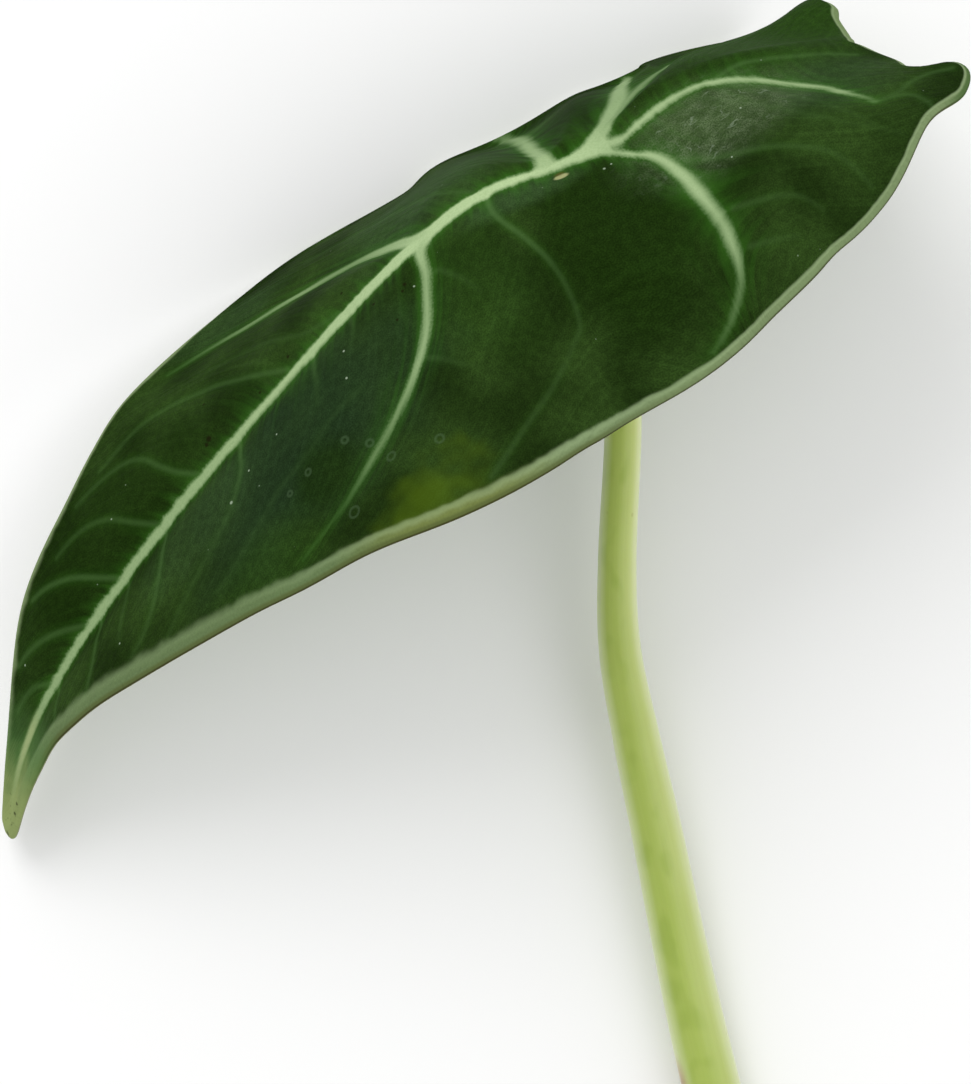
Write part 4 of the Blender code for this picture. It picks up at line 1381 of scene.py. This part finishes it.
        return piece

    def rim_between(
        self, edge: np.ndarray, up: np.ndarray, low: np.ndarray
    ) -> tuple[list[np.ndarray], list[dict[str, np.ndarray]]]:
        """Rounded rows of the rim, from the upper face's edge to the lower face's.

        Args:
            edge: the flat edge.
            up, low: its places on the two faces.

        Returns:
            The rows' places, and each row's marks.
        """
        brim = self.form.bent(edge + outward(edge) * self.rim_outset)
        middle = (up + low) / 2
        at_edge = self.marks(edge)
        rows, row_marks = [], []
        for k in range(1, self.rim_rows + 1):
            turn = math.pi * k / (self.rim_rows + 1)
            rows.append(middle + (up - middle) * math.cos(turn) + (brim - middle) * math.sin(turn))
            past = np.full(len(edge), -self.rim_outset * math.sin(turn))
            row_marks.append({**at_edge, "rim_in": past})
        return rows, row_marks

    def lay_out(
        self, piece: bpy.types.Object, upper_count: int, upper: np.ndarray, lower: np.ndarray, border: int
    ) -> None:
        """Gives the blade its map: the flat upper face, and the flat lower face beside it.

        Args:
            piece: the blade's piece.
            upper_count: how many of its first faces are the upper face's.
            upper, lower: the flat points of the two faces.
            border: how many of each are the edge.
        """
        edge = upper[:border]
        out = outward(edge) * self.map_row
        rows = range(1, self.rim_rows + 1)
        above = np.vstack([upper, *[edge + out * k for k in rows], lower])
        below = np.vstack([upper, *[edge + out * (self.rim_rows + 1 - k) for k in rows], lower])
        below += (0, self.map_apart)
        mesh = piece.data
        corner = np.zeros(len(mesh.loops), np.int32)
        mesh.loops.foreach_get("vertex_index", corner)
        count = np.zeros(len(mesh.polygons), np.int32)
        mesh.polygons.foreach_get("loop_total", count)
        face = np.repeat(np.arange(len(count)), count)
        place = np.where((face < upper_count)[:, None], above[corner], below[corner])
        chart = mesh.uv_layers.new(name="OFBake")
        chart.data.foreach_set("uv", ((place - self.map_corner) / self.map_side).ravel())

    def dress(self, piece: bpy.types.Object, upper_count: int) -> None:
        """Gives the faces above the rim's middle the velvet, and the others the underside's finish."""
        piece.data.materials.append(VelvetFinish().material("velvet_green"))
        piece.data.materials.append(UndersideFinish().material("underside_green"))
        index = np.ones(len(piece.data.polygons), np.int32)
        index[:upper_count] = 0
        piece.data.polygons.foreach_set("material_index", index)
        piece.data.shade_smooth()

    def pucker(self, piece: bpy.types.Object) -> None:
        """Raises the soft unevenness of a grown leaf, by a node tree."""
        tree, graph, given = TreeKit.new("soft_pucker", {"Height": 0.0, "Size": 0.01, "Seed": 0.0})
        place = graph.signal("GeometryNodeInputPosition", 0)
        inputs = {"Vector": place, "W": given["Seed"], "Scale": 1.0 / given["Size"], "Detail": 1.5}
        wave = graph.signal("ShaderNodeTexNoise", 0, inputs, noise_dimensions="4D")
        height = (wave - 0.5) * given["Height"] * 2.0 * graph.stored("rim_in").step(0.0, self.calm_width)
        offset = graph.vector("SCALE", graph.stored("out", "FLOAT_VECTOR"), height)
        moved = graph.signal("GeometryNodeSetPosition", 0, {"Geometry": given["Geometry"], "Offset": offset})
        dressed = graph.signal("GeometryNodeRealizeInstances", 0, {"Geometry": moved})
        slot = graph.signal("GeometryNodeInputMaterialIndex", 0)
        for test, material in zip(("LESS_THAN", "GREATER_THAN"), piece.data.materials):
            inputs = {"Geometry": dressed, "Selection": graph.math(test, slot, 0.5), "Material": material}
            dressed = graph.signal("GeometryNodeSetMaterial", 0, inputs)
        graph.node("NodeGroupOutput", {"Geometry": dressed})
        flat = np.zeros(len(piece.data.vertices) * 3, np.float32)
        piece.data.attributes["flat"].data.foreach_get("vector", flat)
        out = self.form.out_of_face(flat.reshape(-1, 3)[:, :2].astype(float))
        junction = np.array(self.form.junction)
        set_attribute(piece, "out", self.form.lie(out) - junction)
        sizes = {"Height": self.pucker_height, "Size": self.pucker_size, "Seed": self.pucker_seed}
        TreeKit.run(piece, tree, sizes)
        piece.data.attributes.remove(piece.data.attributes["out"])


class Picker:
    """Collects flat points that keep a distance from each other, first come first kept."""

    def __init__(self, first: np.ndarray, spacing: float) -> None:
        """Starts with points that are all kept.

        Args:
            first: the points.
            spacing: the least distance, and the cell size of the search.
        """
        self.spacing = spacing
        self.cell = 0.5
        self.kept: list[tuple[float, float]] = []
        self.cells: dict[tuple[int, int], list[int]] = {}
        for point in first:
            self.add(point)

    def add(self, point: np.ndarray) -> int:
        """Keeps a point and gives its number."""
        key = (math.floor(point[0] / self.cell), math.floor(point[1] / self.cell))
        self.cells.setdefault(key, []).append(len(self.kept))
        self.kept.append((float(point[0]), float(point[1])))
        return len(self.kept) - 1

    def found(self, point: np.ndarray, spacing: float) -> int:
        """Number of a kept point within the spacing, or -1."""
        i, j = math.floor(point[0] / self.cell), math.floor(point[1] / self.cell)
        for di in (-1, 0, 1):
            for dj in (-1, 0, 1):
                for k in self.cells.get((i + di, j + dj), ()):
                    if math.hypot(self.kept[k][0] - point[0], self.kept[k][1] - point[1]) < spacing:
                        return k
        return -1

    def take(self, points: np.ndarray, spacing: float | None = None) -> None:
        """Keeps those of the points that are clear of the kept ones."""
        least = self.spacing if spacing is None else spacing
        for point in points:
            if self.found(point, least) < 0:
                self.add(point)

    def take_line(self, points: np.ndarray) -> list[int]:
        """Keeps a line's points, or stands kept ones in for them, and gives their numbers in order."""
        line: list[int] = []
        for point in points:
            number = self.found(point, self.spacing)
            number = self.add(point) if number < 0 else number
            if not line or line[-1] != number:
                line.append(number)
        return line


def inside(points: np.ndarray, edge: np.ndarray) -> np.ndarray:
    """Whether each flat point lies inside the outline."""
    crossings = np.zeros(len(points), int)
    for a, b in zip(edge, np.roll(edge, -1, axis=0)):
        spans = (a[1] > points[:, 1]) != (b[1] > points[:, 1])
        rise = b[1] - a[1] if b[1] != a[1] else 1.0
        at = a[0] + (points[:, 1] - a[1]) * (b[0] - a[0]) / rise
        crossings += spans & (points[:, 0] < at)
    return crossings % 2 == 1


@dataclass
class SideRibs:
    """Fine raised ribs of the thin veins under the blade, swept along it, in millimetres."""

    blade: Blade
    thick: Pair = (0.75, 0.22)
    rise_length: float = 5.0
    start_share: float = 0.25
    end_share: float = 0.15
    end_rate: float = 6.0
    step: float = 1.2
    sides: int = 8

    def build(self) -> bpy.types.Object:
        """Sweeps a round profile along each thin vein under the blade.

        Returns:
            The finished piece.
        """
        points, edges, widths = [], [], []
        for vein in SIDE_VEINS:
            flat = through(vein.route, self.step)
            low = self.blade.faces(flat, self.blade.marks(flat))[Face.LOWER]
            part = np.linspace(0, 1, len(flat))
            start = len(points)
            points.extend(self.blade.form.lie(low))
            walked = self.step * np.arange(len(flat))
            rise = self.start_share + (1 - self.start_share) * ease(0.0, self.rise_length, walked)
            taper = np.minimum(1, self.end_rate * (1 - part) + self.end_share) * rise
            widths.extend(blend(self.thick, part) / 2 * taper)
            edges.extend((start + k, start + k + 1) for k in range(len(flat) - 1))
        places = np.array(points)
        radius = np.array(widths)
        places[:, 2] = np.maximum(places[:, 2], radius)
        piece = new_piece("leaf_side_ribs", places, edges=edges)
        set_attribute(piece, "thick", radius * MM)
        tree = self.tree(RibFinish().material("rib_green"))
        TreeKit.run(piece, tree, {"Sides": self.sides})
        LOG.info("side ribs: %d faces", len(piece.data.polygons))
        return piece

    @staticmethod
    def tree(material: bpy.types.Material) -> bpy.types.NodeTree:
        """Tree that sweeps a round profile along the piece's edges."""
        tree, graph, given = TreeKit.new("rib_sweep", {"Sides": 8.0})
        TreeKit.finish(graph, sweep(graph, given["Geometry"], circle(graph, given["Sides"])), material)
        return tree


def circle(graph: Graph, sides: Signal) -> Signal:
    """Round profile of radius 1."""
    sides = graph.math("ROUND", sides)
    return graph.signal("GeometryNodeCurvePrimitiveCircle", 0, {"Resolution": sides, "Radius": 1.0})


def sweep(graph: Graph, edges: Signal, profile: Signal) -> Signal:
    """Sweeps a profile of radius 1 along a mesh's edges, at each point's own thickness, with closed ends."""
    lines = graph.signal("GeometryNodeMeshToCurve", 0, {"Mesh": edges})
    sized = graph.signal("GeometryNodeSetCurveRadius", 0, {"Curve": lines, "Radius": graph.stored("thick")})
    inputs = {"Curve": sized, "Profile Curve": profile, "Fill Caps": True}
    swept = graph.node("GeometryNodeCurveToMesh", inputs)
    if "Scale" in swept.inputs:
        graph.feed(swept.inputs["Scale"], graph.signal("GeometryNodeInputRadius", 0))
    return Signal(graph, swept.outputs[0])


@dataclass
class Stalk:
    """The stalk: a long bent round stem, sunk into the blade's seat and cut plainly, in millimetres."""

    form: LeafForm
    route: Table = (
        (5.2, -26.0, -17.0, 5.8), (5.6, -41.2, -22.5, 5.8), (4.8, -61.5, -27.0, 6.1),
        (5.3, -75.6, -29.5, 6.7), (8.0, -89.8, -31.5, 7.5), (11.1, -103.9, -33.0, 8.1),
        (14.0, -118.2, -34.1, 8.5), (17.0, -132.3, -35.1, 8.9), (19.7, -143.8, -35.8, 9.2),
        (25.5, -168.0, -36.1, 9.5), (32.0, -196.0, -36.1, 9.8),
    )
    top_diameter: float = 6.6
    seat_length: float = 3.0
    sunk: float = 0.9
    step: float = 1.2
    sides: int = 56
    bevel: float = 0.35
    bevel_middle: float = 0.45
    bevel_middle_in: float = 0.12
    cut_rise: float = 0.08
    cut_shares: Sequence[float] = (1.0, 0.94, 0.85, 0.7, 0.5, 0.3, 0.1)
    fibre_height: float = 0.00006

    def centre_line(self) -> tuple[np.ndarray, np.ndarray]:
        """Centre points with their radii, and how much each is part of the cut face."""
        seat, down = self.form.boss_seat()
        top = self.form.lie(seat)
        ahead = self.form.lie(seat + down) - top
        junction = np.array(self.form.junction)
        rows = [(*(top - ahead * self.sunk), self.top_diameter)]
        rows += [(*(top + ahead * self.seat_length), self.top_diameter)]
        rows += [(*(junction + row[:3]), row[3]) for row in self.route]
        path = through(rows, self.step)
        path[:, 3] /= 2
        end, radius = path[-1, :3].copy(), path[-1, 3]
        ahead = path[-1, :3] - path[-2, :3]
        ahead /= np.linalg.norm(ahead)
        path[-1, :3] -= ahead * self.bevel
        tail = [(*(end - ahead * self.bevel * self.bevel_middle), radius - self.bevel_middle_in, 0.0)]
        for share in self.cut_shares:
            at = end - ahead * self.cut_rise * share
            tail.append((*at, (radius - self.bevel) * share, float(share < 1)))
        whole = np.vstack([np.column_stack([path, np.zeros(len(path))]), np.array(tail)])
        return whole[:, :4], whole[:, 4]

    def build(self) -> bpy.types.Object:
        """Sweeps the stalk by a node tree.

        Returns:
            The finished piece.
        """
        path, cut = self.centre_line()
        edges = [(k, k + 1) for k in range(len(path) - 1)]
        piece = new_piece("leaf_stalk_fine", path[:, :3], edges=edges)
        run = np.concatenate([[0], np.cumsum(np.linalg.norm(np.diff(path[:, :3], axis=0), axis=1))])
        set_attribute(piece, "thick", path[:, 3] * MM)
        set_attribute(piece, "cut", cut)
        set_attribute(piece, "run", run)
        tree = self.tree(StalkFinish().material("stalk_green"))
        TreeKit.run(piece, tree, {"Sides": self.sides, "Fibre Height": self.fibre_height})
        face_outward(piece)
        LOG.info("stalk: %d faces", len(piece.data.polygons))
        return piece

    @staticmethod
    def tree(material: bpy.types.Material) -> bpy.types.NodeTree:
        """Tree that sweeps the stalk, gives it fine lengthwise lines and lays it on the surface."""
        tree, graph, given = TreeKit.new("stalk_sweep", {"Sides": 48.0, "Fibre Height": 0.0})
        place = graph.signal("GeometryNodeInputPosition", 0)
        normal = graph.signal("GeometryNodeInputNormal", 0)
        profile = graph.store(circle(graph, given["Sides"]), "ring", place, "FLOAT_VECTOR")
        body = sweep(graph, given["Geometry"], profile)
        wave = graph.noise(graph.vector("SCALE", graph.stored("ring", "FLOAT_VECTOR"), 7.0), 1.0)
        offset = graph.vector("SCALE", normal, (wave - 0.5) * given["Fibre Height"])
        lined = graph.signal("GeometryNodeSetPosition", 0, {"Geometry": body, "Offset": offset})
        height = graph.math("MAXIMUM", graph.part(place, 2), 0.0)
        on_floor = graph.joined(graph.part(place, 0), graph.part(place, 1), height)
        laid = graph.signal("GeometryNodeSetPosition", 0, {"Geometry": lined, "Position": on_floor})
        TreeKit.finish(graph, graph.store(laid, "turned", graph.part(normal, 0), "FLOAT"), material)
        return tree


@dataclass
class Studio:
    """White surface, soft lights and the camera that looks down on the leaf, in metres."""

    junction: Place
    camera_shift: Pair = (-15.833, -58.636)
    camera_height: float = 800.0
    camera_sees: float = 20.0
    lens: float = 175.35
    film_width: float = 36
    floor_size: float = 6.0
    floor_drop: float = 0.05
    light_aim: Place = (0, 0, 0.03)
    sky_strength: float = 0.82

    def build_floor(self) -> None:
        """Lays the plain surface just under the leaf."""
        half = self.floor_size / 2 / MM
        corners = [(x * half, y * half, -self.floor_drop) for x, y in ((-1, -1), (1, -1), (1, 1), (-1, 1))]
        floor = new_piece("floor", corners, [(0, 1, 2, 3)])
        floor.data.materials.append(FloorFinish().material("white_surface"))

    def build_light(self, name: str, place: Place, size: float, watts: float) -> None:
        """Adds a soft square light that points at the leaf.

        Args:
            name: the light's name.
            place: where it hangs, in metres.
            size: its side, in metres.
            watts: its power.
        """
        data = bpy.data.lights.new(name, "AREA")
        data.shape = "SQUARE"
        data.size = size
        data.energy = watts
        light = bpy.data.objects.new(name, data)
        light.location = place
        light.rotation_euler = (Vector(self.light_aim) - light.location).to_track_quat("-Z", "Y").to_euler()
        bpy.context.scene.collection.objects.link(light)

    def build_camera(self) -> None:
        """Sets the camera straight above the leaf, at the photograph's distance and scale."""
        data = bpy.data.cameras.new("camera")
        data.sensor_width = self.film_width
        data.lens = self.lens
        data.clip_end = self.camera_sees
        camera = bpy.data.objects.new("camera", data)
        shift = (*self.camera_shift, self.camera_height)
        camera.location = [(at + by) * MM for at, by in zip(self.junction, shift)]
        bpy.context.scene.collection.objects.link(camera)
        bpy.context.scene.camera = camera

    def build_world(self) -> None:
        """Surrounds the scene with even pale light."""
        world = bpy.data.worlds.new("pale_room")
        world.use_nodes = True
        background = world.node_tree.nodes["Background"]
        background.inputs["Color"].default_value = (1.0, 1.0, 1.0, 1.0)
        background.inputs["Strength"].default_value = self.sky_strength
        bpy.context.scene.world = world
        bpy.context.scene.view_settings.view_transform = "Standard"

    def build(self) -> None:
        """Builds the whole studio."""
        self.build_floor()
        self.build_light("key_light", (-0.5, 0.9, 1.1), 0.8, 7.5)
        self.build_light("fill_light", (0.9, -0.3, 1.2), 1.0, 3.5)
        self.build_camera()
        self.build_world()


def main() -> None:
    """Builds the leaf's pieces in order, and the studio round them."""
    logging.basicConfig(level=logging.INFO, format="%(message)s")
    form = LeafForm()
    Studio(form.junction).build()
    blade_maker = Blade(form)
    blade = blade_maker.build()
    ribs = SideRibs(blade_maker).build()
    stalk = Stalk(form).build()
    for piece, slot in ((blade, "blade"), (ribs, "blade"), (stalk, "stalk")):
        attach(piece, BODY)
        LOG.info("%s rides on %s", piece.name, BODY)
    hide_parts("leaf_blade")
    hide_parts("leaf_stalk")


if __name__ == "__main__":
    main()
